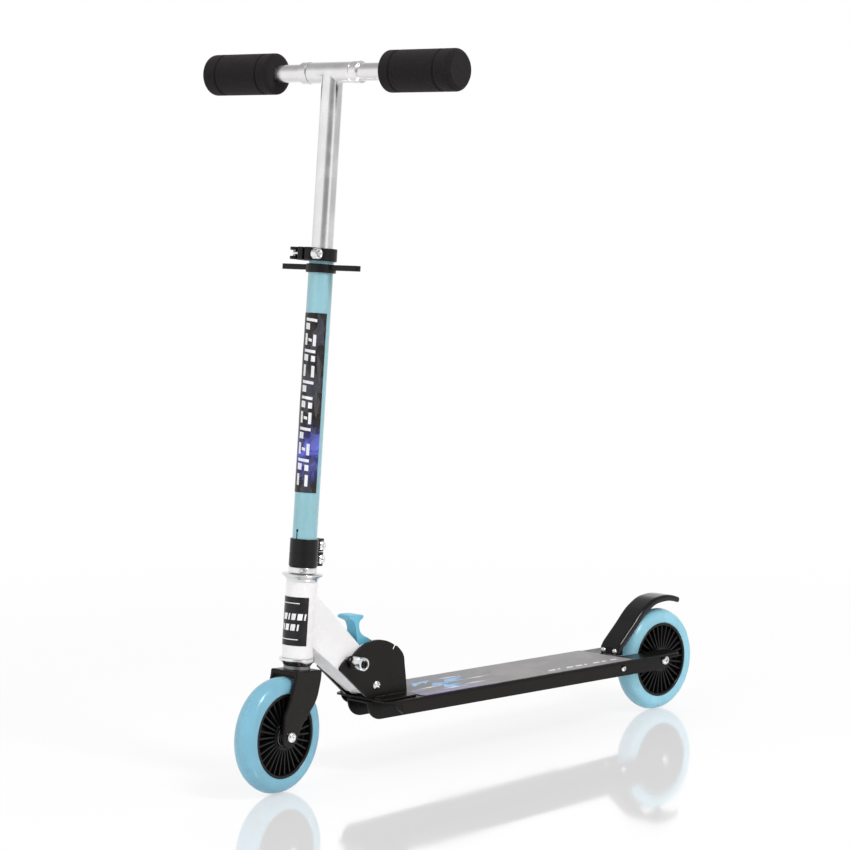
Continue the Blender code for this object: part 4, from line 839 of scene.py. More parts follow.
class RepeatTree:
    """A Geometry Nodes group that repeats one piece by a step and a turn."""

    def __init__(self) -> None:
        """Builds the group with its named inputs."""
        self.group = bpy.data.node_groups.new("repeat_piece", "GeometryNodeTree")
        self.group.is_modifier = True
        face = self.group.interface
        kinds = {"Count": "Int", "Step": "Vector", "Turn": "Float", "Piece": "Object", "Finish": "Material"}
        self.sockets = {
            name: face.new_socket(name, in_out="INPUT", socket_type="NodeSocket" + kind).identifier
            for name, kind in kinds.items()
        }
        face.new_socket("Geometry", in_out="OUTPUT", socket_type="NodeSocketGeometry")
        types = {
            "given": "NodeGroupInput",
            "index": "GeometryNodeInputIndex",
            "along": "ShaderNodeVectorMath",
            "turn": "ShaderNodeMath",
            "spin": "ShaderNodeCombineXYZ",
            "points": "GeometryNodePoints",
            "info": "GeometryNodeObjectInfo",
            "copies": "GeometryNodeInstanceOnPoints",
            "real": "GeometryNodeRealizeInstances",
            "paint": "GeometryNodeSetMaterial",
            "out": "NodeGroupOutput",
        }
        nodes = {name: self.group.nodes.new(kind) for name, kind in types.items()}
        nodes["along"].operation = "SCALE"
        nodes["turn"].operation = "MULTIPLY"
        for source, output, target, entry in (
            ("given", "Step", "along", 0),
            ("index", 0, "along", "Scale"),
            ("given", "Turn", "turn", 0),
            ("index", 0, "turn", 1),
            ("turn", 0, "spin", "Z"),
            ("given", "Count", "points", "Count"),
            ("along", 0, "points", "Position"),
            ("given", "Piece", "info", "Object"),
            ("points", 0, "copies", "Points"),
            ("info", "Geometry", "copies", "Instance"),
            ("spin", 0, "copies", "Rotation"),
            ("copies", 0, "real", 0),
            ("real", 0, "paint", "Geometry"),
            ("given", "Finish", "paint", "Material"),
            ("paint", 0, "out", 0),
        ):
            self.group.links.new(nodes[source].outputs[output], nodes[target].inputs[entry])

    def repeat(
        self, piece: Piece, count: int, step: Triple, turn: float, matrix: Matrix, look: Look
    ) -> Piece:
        """Repeats a piece and turns the copies into one plain mesh.

        Args:
            piece: The piece, modelled about the local origin; it is removed.
            count: Number of copies.
            step: Move from one copy to the next.
            turn: Turn about local Z from one copy to the next, in degrees.
            matrix: Where the row or ring goes.
            look: The copies' finish.

        Returns:
            The object that holds every copy.
        """
        name = piece.name + "s"
        obj = shown(name, bpy.data.meshes.new(name))
        row = obj.modifiers.new("repeat", "NODES")
        row.node_group = self.group
        for socket, value in zip(
            self.sockets.values(), (count, step, math.radians(turn), piece, look.material)
        ):
            row[socket] = value
        Bench.bake(obj)
        bpy.data.objects.remove(piece, do_unlink=True)
        obj.data.transform(matrix)
        Bench.smooth(obj)
        return obj


# ---- Wheels -------------------------------------------------------------------------------
@dataclass
class Wheel:
    """A cast tyre on a bladed hub, with its bolt, nut, spacers and bearings."""

    end: str
    frame_body: str
    place: Matrix
    repeat: RepeatTree
    tyre_look: Look
    outer: float
    inner: float
    radius: float = 0.060
    half_width: float = 0.012
    seat: float = 0.0437
    hub_half: float = 0.0112
    boss: float = 0.0148
    rim: float = 0.0405
    blades: int = 30
    bolt_radius: float = 0.0056

    @property
    def body(self) -> str:
        """Returns the body that turns."""
        return self.end + "_wheel"

    @property
    def axis(self) -> Matrix:
        """Returns the wheel's frame with Z along its axle."""
        return self.place @ LEFT

    def tyre(self) -> None:
        """Builds the tyre, with a parting line round its tread."""
        half = self.half_width
        side = [(self.seat, half - 0.0011), (self.seat + 0.0009, half - 0.0004), (0.0462, half - 0.0001)]
        side += [(0.0505, half), (0.0542, half - 0.0011), (0.0570, half - 0.0035)]
        side += [(0.0589, half - 0.0070), (0.05985, half - 0.0106), (0.0599, 0.0004)]
        side = Sketch.flowing(side, 4)[:-1] + [(0.0599, 0.00035), (self.radius, 0.0002)]
        tyre = Bench.turned(self.end + "_tyre_cast", Sketch.doubled(side), self.axis, 160)
        Bench.settle(tyre, self.tyre_look, self.body, self.end + "_tyre")

    def blade(self) -> Piece:
        """Builds one hub blade, thinner at its outer edges than at the web."""
        shape = bmesh.new()
        rows = []
        for radius, reach in ((self.boss - 0.0004, 0.0102), (0.024, 0.0097), (self.rim + 0.0003, 0.0094)):
            steps = ((-1, 0.0015), (-0.93, 0.0019), (0.0, 0.0023), (0.93, 0.0019), (1, 0.0015))
            row = [shape.verts.new((radius, thick / 2, reach * share)) for share, thick in steps]
            row += [shape.verts.new((radius, -v.co.y, v.co.z)) for v in reversed(row)]
            rows.append(row)
        Bench.skin(shape, rows)
        shape.faces.new(rows[0])
        shape.faces.new(list(reversed(rows[-1])))
        return Bench.add(self.end + "_hub_blade", shape, Matrix.Identity(4))

    def hub(self) -> None:
        """Builds the hub's boss, web and rim, and its ring of blades."""
        bore = 0.0111
        web = 0.0016
        face = self.hub_half
        upper = [(bore, 0.0034), (bore, face - 0.0012), (bore + 0.0006, face - 0.0006)]
        upper += [(self.boss - 0.0006, face - 0.0006), (self.boss, face - 0.0014), (self.boss, web + 0.001)]
        upper += [(self.boss + 0.001, web), (self.rim - 0.001, web), (self.rim, web + 0.001)]
        upper += [(self.rim, face - 0.0006), (self.rim + 0.0005, face), (self.seat - 0.0007, face)]
        upper += [(self.seat - 0.0003, face - 0.0004)]
        profile = Sketch.doubled(upper) + [(0.0075, -0.0034), (0.0075, 0.0034)]
        core = Bench.turned(self.end + "_hub_core", profile, self.axis, 128)
        Bench.settle(core, Look.PLASTIC, self.body, self.end + "_hub")
        turn = 360 / self.blades
        ring = self.repeat.repeat(
            self.blade(), self.blades, (0, 0, 0), turn, self.axis, Look.PLASTIC
        )
        Bench.settle(ring, Look.PLASTIC, self.body, slot=self.end + "_hub")

    def axle(self) -> None:
        """Builds the axle bolt with a round socket in its head, and its nut."""
        head = self.outer + 0.0003
        tail = -head - 0.0058
        big = self.bolt_radius
        profile = [(0.0, head + 0.0020), (0.0019, head + 0.0020), (0.0021, head + 0.0037)]
        profile += [(big * 0.55, head + 0.0038), (big * 0.80, head + 0.0031), (big * 0.95, head + 0.0018)]
        profile += [(big, head + 0.0008), (big, head), (0.0039, head), (0.0039, tail + 0.0005)]
        profile += [(0.0034, tail), (0.0, tail)]
        bolt = Bench.turned(self.end + "_axle_screw", profile, self.axis, 64, ring=False)
        Bench.settle(bolt, Look.ZINC, self.frame_body, self.end + "_axle_bolt")
        loops = [Sketch.circle((0, 0), 0.0070, 6), Sketch.circle((0, 0), 0.0041, 48)]
        spot = self.axis @ shift(z=-head - 0.0026)
        nut = Bench.plate(self.end + "_axle_locknut", loops, 0.0052, spot, 0.0005)
        Bench.settle(nut, Look.ZINC, self.frame_body, self.end + "_axle_nut")

    def bearings(self) -> None:
        """Builds the ball bearings' rings and shields, and the spacers beside them."""
        for sign, side in SIDES:
            half = 0.0035
            middle = sign * (0.00345 + half)
            profile = [(0.0041, half), (0.0058, half), (0.0060, half - 0.0004), (0.0094, half - 0.0004)]
            profile += [(0.0096, half), (0.0107, half), (0.0110, half - 0.0003)]
            spot = self.axis @ shift(z=middle)
            ring = Bench.turned(f"{self.end}_ball_bearing_{side}", Sketch.doubled(profile), spot, 64)
            Bench.settle(ring, Look.DARK_STEEL, self.body, f"{self.end}_bearing_{side}")
            start = 0.0034 + 2 * half + 0.00015
            end = self.inner - 0.00015
            tube = [(0.0041, end), (0.0059, end), (0.0062, end - 0.0003), (0.0062, start + 0.0003)]
            tube += [(0.0059, start), (0.0041, start)]
            turn = self.axis if sign == 1 else self.place @ SIDE
            spacer = Bench.turned(f"{self.end}_axle_spacer_{side}", tube, turn, 48)
            Bench.settle(spacer, Look.ZINC, self.frame_body, f"{self.end}_spacer_{side}")

    def build(self) -> None:
        """Builds the whole wheel."""
        self.tyre()
        self.hub()
        self.axle()
        self.bearings()


# ---- Steering column ----------------------------------------------------------------------
@dataclass
class Column:
    """Fork, headset, steering tube, clamps and everything else that turns with them."""

    frame: Matrix = field(default_factory=lambda: PLAN.steered)
    fork_half: float = 0.0180
    fork_plate: float = 0.0033
    crown_top: float = 0.1245
    tube_radius: float = 0.0129
    tube_wall: float = 0.0014
    tube_bottom: float = 0.2312
    tube_top: float = 0.5560
    body: str = "column"

    def fork(self) -> None:
        """Builds the pressed fork with its steerer tube."""
        drop = PLAN.wheel_radius / math.cos(PLAN.rake) - 0.0246 * math.tan(PLAN.rake)
        front = [(-0.0203, 0.1245), (-0.0200, 0.1150), (-0.0158, 0.0965), (-0.0112, 0.0885)]
        outline = Sketch.fillet([*front, (0.0060, 0.0690)], 0.006, 5, closed=False)
        outline += Sketch.arc((0.0246, drop), 0.0115, 205, 385, 30)
        rear = [(0.0348, 0.0805), (0.0286, 0.0922), (0.0240, 0.1060), (0.0207, 0.1180), (0.0203, 0.1245)]
        outline += Sketch.fillet(rear, 0.008, 5, closed=False)
        fork = Bench.plate("pressed_fork", [outline], 2 * self.fork_half, self.frame @ SIDE)
        Bench.soften(fork, 0.0016, 3, 50.0)
        inner = self.fork_half - self.fork_plate
        top = self.crown_top - self.fork_plate - 0.0007
        gap = Bench.block("fork_gap", (-0.05, -inner, 0.02), (0.07, inner, top), self.frame, 0.0022)
        Bench.carve(fork, gap)
        steerer = [(0.0088, 0.262), (0.0112, 0.262), (0.0112, 0.1235), (0.0088, 0.1235)]
        Bench.carve(fork, Bench.turned("steerer", steerer, self.frame, 64), "UNION")
        Bench.carve(fork, Bench.rod("fork_bore", 0.0041, -0.03, 0.03, PLAN.front_axle @ LEFT, 48))
        Bench.soften(fork)
        Bench.settle(fork, Look.BLACK_PAINT, self.body, "fork")
        race = [(0.0114, 0.1290), (0.0129, 0.1290), (0.0138, 0.1284), (0.0140, 0.1276), (0.0140, 0.1248)]
        race += [(0.0114, 0.1248)]
        Bench.settle(Bench.turned("crown_ring", race, self.frame), Look.DARK_STEEL, self.body, "crown_race")

    def locknut(self) -> None:
        """Builds the headset's locknut with its spanner notches."""
        nut = [(0.0114, 0.2306), (0.0136, 0.2306), (0.0144, 0.2302), (0.0148, 0.2294)]
        nut += [(0.0148, 0.2248), (0.0142, 0.2240), (0.0114, 0.2240)]
        obj = Bench.turned("headset_ring_nut", nut, self.frame)
        for turn in (35.0, 125.0, 215.0, 305.0):
            spot = self.frame @ Matrix.Rotation(math.radians(turn), 4, "Z")
            low, high = (0.0136, -0.0013, 0.226), (0.02, 0.0013, 0.2294)
            Bench.carve(obj, Bench.block("nut_notch", low, high, spot))
        Bench.settle(Bench.soften(obj), Look.CHROME, self.body, "headset_locknut")

    def tube(self) -> None:
        """Builds the steering tube with its clamping slit and keyhole."""
        radius = self.tube_radius
        inner = radius - self.tube_wall
        low, high = self.tube_bottom, self.tube_top
        profile = [(inner, high), (radius - 0.0003, high), (radius, high - 0.0003)]
        profile += [(radius, low), (inner, low)]
        tube = Bench.turned("outer_steering_tube", profile, self.frame, 96)
        face = self.frame @ shift(0.0125) @ ACROSS
        for name, loop in (
            ("slit", Sketch.slot((0, 0.5215), (0, 0.566), 0.0008, 8)),
            ("foot_slit", Sketch.slot((0, 0.2000), (0, 0.2670), 0.0008, 8)),
            ("eye", Sketch.circle((0, 0.2680), 0.0016, 32)),
        ):
            Bench.carve(tube, Bench.plate(name, [loop], 0.006, face))
        Bench.settle(Bench.soften(tube), Look.BLUE_PAINT, self.body, "steering_tube")

    def band(self) -> None:
        """Builds the split clamp at the tube's foot and its two socket screws."""
        inner = self.tube_radius + 0.0003
        outer = inner + 0.0016
        ear, half, gap = -0.0265, 0.0052, 0.0012
        meet = math.degrees(math.asin(half / outer))
        slit = math.degrees(math.asin(gap / inner))
        outline = Sketch.arc((0, 0), outer, 180 - meet, -180 + meet, 72)
        outline += [(ear + 0.001, -half), (ear, -half + 0.001), (ear, -gap)]
        outline += Sketch.arc((0, 0), inner, -180 + slit, 180 - slit, 72)
        outline += [(ear, gap), (ear, half - 0.001), (ear + 0.001, half)]
        bottom, top = 0.2309, 0.2596
        spot = self.frame @ shift(z=(bottom + top) / 2)
        band = Bench.plate("foot_clamp", [outline], top - bottom, spot, 0.0005)
        groove = [(outer - 0.0004, 0.2462), (0.03, 0.2462), (0.03, 0.2454), (outer - 0.0004, 0.2454)]
        Bench.carve(band, Bench.turned("band_groove", groove, self.frame, 96))
        for name, height in (("upper", 0.2524), ("lower", 0.2385)):
            axis = self.frame @ shift(-0.0205, 0.0, height) @ LEFT
            Bench.carve(band, Bench.rod("band_hole", 0.0023, -0.02, 0.02, axis))
            head = half + 0.0003
            profile = [(0.0, head + 0.0016), (0.0021, head + 0.0016), (0.0023, head + 0.0036)]
            profile += [(0.0042, head + 0.0036), (0.0050, head + 0.0029), (0.0052, head + 0.0020)]
            profile += [(0.0052, head), (0.0021, head), (0.0021, -half - 0.0010), (0.0, -half - 0.0010)]
            screw = Bench.turned("clamp_screw_" + name, profile, axis, 48, ring=False)
            Bench.settle(screw, Look.ZINC, self.body, "clamp_bolt_" + name)
        Bench.settle(Bench.soften(band), Look.PLASTIC, self.body, "clamp_band")

    def clip(self) -> None:
        """Builds the bar that parks the grips, with a ring and two moulded arms."""
        low, high = 0.5336, 0.5424
        inner = self.tube_radius + 0.0003
        ring = [(inner, high), (inner + 0.0018, high), (inner + 0.0025, high - 0.0007)]
        ring += [(radius, low + high - height) for radius, height in reversed(ring)]
        clip = Bench.turned("parking_clip", ring, self.frame, 96)
        for sign in (1, -1):
            near, far = sign * 0.0144, sign * 0.051
            arm = [(-0.0036, near), (-0.0036, far - sign * 0.0036)]
            arm += Sketch.arc((0.0, far - sign * 0.0036), 0.0036, 180, 180 - sign * 180, 14)
            arm += [(0.0036, near)]
            holes = [Sketch.circle((0.0, sign * spot), 0.0016, 24) for spot in (0.0235, 0.0335, 0.0440)]
            spot = self.frame @ shift(z=high - 0.0032)
            bar = Bench.plate("clip_arm", [arm, *holes], 0.0056, spot, 0.0007)
            Bench.carve(clip, bar, "UNION")
        Bench.settle(Bench.soften(clip), Look.PLASTIC, self.body, "grip_clip")

    def collar(self) -> None:
        """Builds the quick-release collar, its skewer and its round nut."""
        low, high = 0.5455, 0.5585
        inner = self.tube_radius + 0.0003
        outer = inner + 0.0026
        lug, half, gap = 0.0300, 0.0088, 0.0014
        meet = math.degrees(math.asin(half / outer))
        slit = math.degrees(math.asin(gap / inner))
        outline = Sketch.arc((0, 0), outer, meet, 360 - meet, 72)
        outline += [(lug - 0.002, -half), (lug - 0.0006, -half + 0.0006), (lug, -half + 0.002), (lug, -gap)]
        outline += Sketch.arc((0, 0), inner, 360 - slit, slit, 72)
        outline += [(lug, gap), (lug, half - 0.002), (lug - 0.0006, half - 0.0006), (lug - 0.002, half)]
        middle = (low + high) / 2
        collar = Bench.plate("release_collar", [outline], high - low, self.frame @ shift(z=middle), 0.0006)
        lip_inner, lip_outer = 0.0115, inner + 0.0006
        lip_top, lip_low = high - 0.0002, self.tube_top + 0.0003
        lip = [(lip_inner, lip_top), (lip_outer, lip_top), (lip_outer, lip_low), (lip_inner, lip_low)]
        Bench.carve(collar, Bench.turned("collar_lip", lip, self.frame, 96), "UNION")
        split = Bench.block("split", (0, -gap, low - 0.01), (0.04, gap, high + 0.01), self.frame)
        Bench.carve(collar, split)
        axis = self.frame @ shift(0.0240, 0.0, middle) @ LEFT
        Bench.carve(collar, Bench.rod("collar_bore", 0.0026, -0.02, 0.02, axis))
        Bench.settle(Bench.soften(collar), Look.PLASTIC, self.body, "height_collar")
        skewer = Bench.rod("release_skewer", 0.0024, -0.0170, 0.0172, axis, 40)
        pin = self.frame @ shift(0.0240, -0.0160, middle)
        Bench.carve(skewer, Bench.rod("lever_pin", 0.0022, -0.0062, 0.0062, pin, 40), "UNION")
        Bench.settle(Bench.soften(skewer), Look.ZINC, self.body, "collar_skewer")
        top = half + 0.0080
        nut = [(0.0026, top - 0.0010), (0.0036, top - 0.0004), (0.0040, top), (0.0048, top)]
        nut += [(0.0056, top - 0.0009), (0.0056, half + 0.0008)]
        nut += [(0.0050, half + 0.0003), (0.0026, half + 0.0003)]
        Bench.settle(Bench.turned("release_nut", nut, axis, 64), Look.ZINC, self.body, "collar_nut")

    def lever(self) -> None:
        """Builds the quick-release lever, a bent blade with a forked cam."""
        path = [(0.0, 0.0), (-0.0100, -0.0036), (-0.0200, -0.0050), (-0.0290, -0.0036)]
        path += [(-0.0375, 0.0010), (-0.0435, 0.0075), (-0.0475, 0.0150)]
        line = Sketch.flowing(path, 6)[6:]
        left, right = [], []
        for point, heading in zip(line, Sketch.headings(line)):
            across = Vector((-heading.y, heading.x)) * 0.0015
            left.append((point[0] + across.x, point[1] + across.y))
            right.append((point[0] - across.x, point[1] - across.y))
        outline = Sketch.arc((0, 0), 0.0050, -150, 170, 40) + right + list(reversed(left))
        loops = [outline, Sketch.circle((0, 0), 0.0025, 40)]
        spot = self.frame @ shift(0.0240, -0.0160, 0.5520)
        lever = Bench.plate("release_lever", loops, 0.0126, spot, 0.0005)
        low, high = (-0.0062, -0.0080, -0.0031), (0.0080, 0.0120, 0.0031)
        Bench.carve(lever, Bench.block("lever_fork", low, high, spot))
        Bench.settle(Bench.soften(lever), Look.PLASTIC, "clamp_lever", "collar_lever")

    def build(self) -> None:
        """Builds the whole column."""
        self.fork()
        self.locknut()
        self.tube()
        self.band()
        self.clip()
        self.collar()
        self.lever()


# ---- Neck, lock and latch -----------------------------------------------------------------
@dataclass
class Neck:
    """Head tube and box neck in one welded frame, with the headset's cups."""

    frame: Matrix = field(default_factory=lambda: PLAN.stem)
    half_width: float = 0.0150
    wall: float = 0.0020
    tube_radius: float = 0.01625
    tube_wall: float = 0.0022
    tube_bottom: float = 0.1366
    tube_top: float = 0.2159
    body: str = "neck"

    def outline(self) -> list[Point]:
        """Returns the neck's side outline about the fold pivot."""
        ahead = PLAN.front_axle_x - PLAN.pivot_x
        points = [(-0.0340 + ahead, 0.0557), (-0.0380 + ahead, 0.1134), (-0.1068 + ahead, 0.0441)]
        points += Sketch.arc((PLAN.latch_x - PLAN.pivot_x, PLAN.latch_z - PLAN.pivot_z), 0.0048, 60, 215, 16)
        points += Sketch.arc((0.0, 0.0), 0.0136, 128, 316, 40)
        return points + [(-0.1124 + ahead, -0.0079)]

    def hollow(self) -> list[Point]:
        """Returns the outline of the neck's inside, open at its lower rear end."""
        ahead = PLAN.front_axle_x - PLAN.pivot_x
        points = [(-0.0370, 0.0558), (-0.0400, 0.1086), (-0.0990, 0.0491), (-0.1010, 0.0598)]
        points += [(-0.1300, 0.0518), (-0.1450, 0.0138), (-0.1450, -0.0182), (-0.1160, -0.0182)]
        points += [(-0.1137, -0.0057), (-0.1060, -0.0002)]
        return [(x + ahead, z) for x, z in points]

    def shell(self) -> None:
        """Builds the welded frame from the box neck and the head tube."""
        box = Bench.plate("neck_box", [self.outline()], 2 * self.half_width, PLAN.pivot @ SIDE)
        Bench.soften(box, 0.0022, 4, 50.0)
        inner = 2 * (self.half_width - self.wall)
        Bench.carve(box, Bench.plate("neck_inside", [self.hollow()], inner, PLAN.pivot @ SIDE))
        low, high = self.tube_bottom, self.tube_top
        radius = self.tube_radius
        tube = [(0.0, high), (radius - 0.0004, high), (radius, high - 0.0004), (radius, low + 0.0004)]
        tube += [(radius - 0.0004, low), (0.0, low)]
        Bench.carve(box, Bench.turned("head_tube", tube, self.frame, 96, ring=False), "UNION")
        Bench.carve(box, Bench.rod("head_bore", radius - self.tube_wall, 0.10, 0.25, self.frame, 96))
        reach = self.half_width - 0.0005
        Bench.carve(box, Bench.rod("pivot_bush", 0.0085, -reach, reach, PLAN.pivot @ LEFT), "UNION")
        Bench.carve(box, Bench.rod("pivot_bore", 0.0042, -0.03, 0.03, PLAN.pivot @ LEFT))
        Bench.carve(box, Bench.rod("latch_bore", 0.0022, -0.03, 0.03, PLAN.latch @ LEFT))
        window = Sketch.slot(Sketch.polar(0.0435, 40.3), Sketch.polar(0.0505, 40.3), 0.0022)
        Bench.carve(box, Bench.plate("lock_window", [window], 0.06, PLAN.pivot @ SIDE))
        Bench.soften(box)
        box.name = "welded_neck"
        Bench.settle(box, Look.WHITE_PAINT, self.body, "neck_frame")

    def cups(self) -> None:
        """Builds the two headset cups; the upper one is a shallow dish."""
        bore = 0.0116
        skirt = self.tube_radius - self.tube_wall - 0.0001
        low, high = self.tube_bottom, self.tube_top
        lower = [(bore, low + 0.006), (skirt, low + 0.006), (skirt, low - 0.0001), (0.0182, low - 0.0001)]
        lower += [(0.0189, low - 0.0005), (0.0190, low - 0.0012), (0.0190, low - 0.0026)]
        lower += [(0.0180, low - 0.0040), (0.0163, low - 0.0055), (0.0150, 0.1293), (bore, 0.1293)]
        cup = Bench.turned("lower_headset_cup", lower, self.frame)
        Bench.settle(cup, Look.CHROME, self.body, "headset_cup_lower")
        top = 0.2237
        upper = [(bore, top - 0.0002), (0.0160, top - 0.0002), (0.0165, top), (0.0207, top)]
        upper += [(0.0213, top - 0.0004), (0.0215, top - 0.0010), (0.0213, top - 0.0017)]
        upper += [(0.0200, top - 0.0028), (0.0180, top - 0.0044), (0.0166, top - 0.0062)]
        upper += [(self.tube_radius, high + 0.0001), (skirt, high + 0.0001), (skirt, high - 0.006)]
        upper += [(bore, high - 0.006)]
        cup = Bench.turned("upper_headset_cup", upper, self.frame)
        Bench.settle(cup, Look.CHROME, self.body, "headset_cup_upper")

    def latch(self) -> None:
        """Builds the blue latch lever and its pin."""
        points = [(-0.0950, 0.1330), (-0.0970, 0.1298), (-0.1100, 0.1303), (-0.1180, 0.1310)]
        points += [(-0.1240, 0.1368), (-0.1275, 0.1418), (-0.1250, 0.1452), (-0.1170, 0.1490)]
        points += [(-0.1122, 0.1530), (-0.1104, 0.1590), (-0.1112, 0.1652), (-0.1165, 0.1678)]
        points += [(-0.1175, 0.1698), (-0.1150, 0.1716), (-0.1000, 0.1724), (-0.0972, 0.1708)]
        points += [(-0.0980, 0.1690), (-0.1040, 0.1655), (-0.1058, 0.1600), (-0.1072, 0.1490)]
        points += [(-0.1078, 0.1425), (-0.1050, 0.1380)]
        ahead = PLAN.front_axle_x - PLAN.latch_x
        outline = Sketch.fillet([(x + ahead, z - PLAN.latch_z) for x, z in points], 0.004, 3)
        loops = [outline, Sketch.circle((0, 0), 0.0022, 32)]
        lever = Bench.plate("latch_handle", loops, 0.019, PLAN.latch @ SIDE)
        for sign in (1, -1):
            waist = [(0.0050, 0.0285), (0.0042, 0.0200), (0.0060, 0.0140), (0.0110, 0.0105)]
            waist = Sketch.fillet(waist, 0.004, 4, closed=False)
            waist += [(0.0200, 0.0105), (0.0200, 0.0312), (0.0095, 0.0312)]
            cutter = [(sign * x, z) for x, z in waist]
            Bench.carve(lever, Bench.plate("waist", [cutter], 0.08, PLAN.latch @ ACROSS))
        Bench.soften(lever, 0.0007, 3, 40.0)
        Bench.settle(lever, Look.BLUE_LEVER, "latch", "latch_lever")
        end = self.half_width - 0.0002
        pin = [(0.0, end), (0.0016, end), (0.0020, end - 0.0004), (0.0020, 0.0004 - end)]
        pin += [(0.0016, -end), (0.0, -end)]
        pin_piece = Bench.turned("latch_hinge_pin", pin, PLAN.latch @ LEFT, 40, ring=False)
        Bench.settle(pin_piece, Look.ZINC, self.body, "latch_pin")

    def lock(self) -> None:
        """Builds the lock pin, its link, the knob and the knob's black screw."""
        plate = 0.0184
        start = plate + 0.0004
        pin = Sketch.polar(0.0499, 40.3)
        knob = Sketch.polar(0.0445, 40.3)
        pin_axis = PLAN.pivot @ shift(pin[0], 0.0, pin[1]) @ LEFT
        knob_axis = PLAN.pivot @ shift(knob[0], 0.0, knob[1]) @ LEFT
        profile = [(0.0, start + 0.0016), (0.0013, start + 0.0016), (0.0016, start + 0.0013)]
        profile += [(0.0016, -start), (0.0030, -start), (0.0030, -start - 0.0014)]
        profile += [(0.0022, -start - 0.0022), (0.0, -start - 0.0022)]
        obj = Bench.turned("lock_cross_pin", profile, pin_axis, 40, ring=False)
        Bench.settle(obj, Look.ZINC, "lock", "lock_pin")
        loops = [Sketch.slot(knob, pin, 0.0040, 24)]
        loops += [Sketch.circle(pin, 0.0018, 32), Sketch.circle(knob, 0.0018, 32)]
        spot = PLAN.pivot @ shift(y=start + 0.0008) @ SIDE
        obj = Bench.plate("lock_link_plate", loops, 0.0016, spot, 0.0003)
        Bench.settle(obj, Look.BLACK_PAINT, "lock", "lock_link")
        low = start + 0.0019
        high = low + 0.0160
        sleeve = [(0.0018, high - 0.0022), (0.0048, high - 0.0022), (0.0048, high - 0.0003), (0.0051, high)]
        sleeve += [(0.0062, high), (0.0068, high - 0.0004), (0.0070, high - 0.0010), (0.0070, low + 0.0008)]
        sleeve += [(0.0066, low + 0.0002), (0.0064, low), (0.0018, low)]
        obj = Bench.turned("lock_sleeve_knob", sleeve, knob_axis, 72)
        Bench.settle(obj, Look.ZINC, "lock", "lock_knob")
        hexagon = [Sketch.circle((0, 0), 0.0042, 6)]
        spot = knob_axis @ shift(z=high - 0.0006)
        head = Bench.plate("lock_knob_screw", hexagon, 0.0026, spot, 0.0003)
        Bench.carve(head, Bench.rod("shank", 0.0016, start, high - 0.001, knob_axis, 32), "UNION")
        hexagon = [Sketch.circle((0, 0), 0.0020, 6)]
        Bench.carve(head, Bench.plate("socket", hexagon, 0.002, knob_axis @ shift(z=high + 0.0007)))
        Bench.settle(Bench.soften(head), Look.PLASTIC, "lock", "lock_knob_bolt")

    def build(self) -> None:
        """Builds the neck and what rides on it."""
        self.shell()
        self.cups()
        self.latch()
        self.lock()


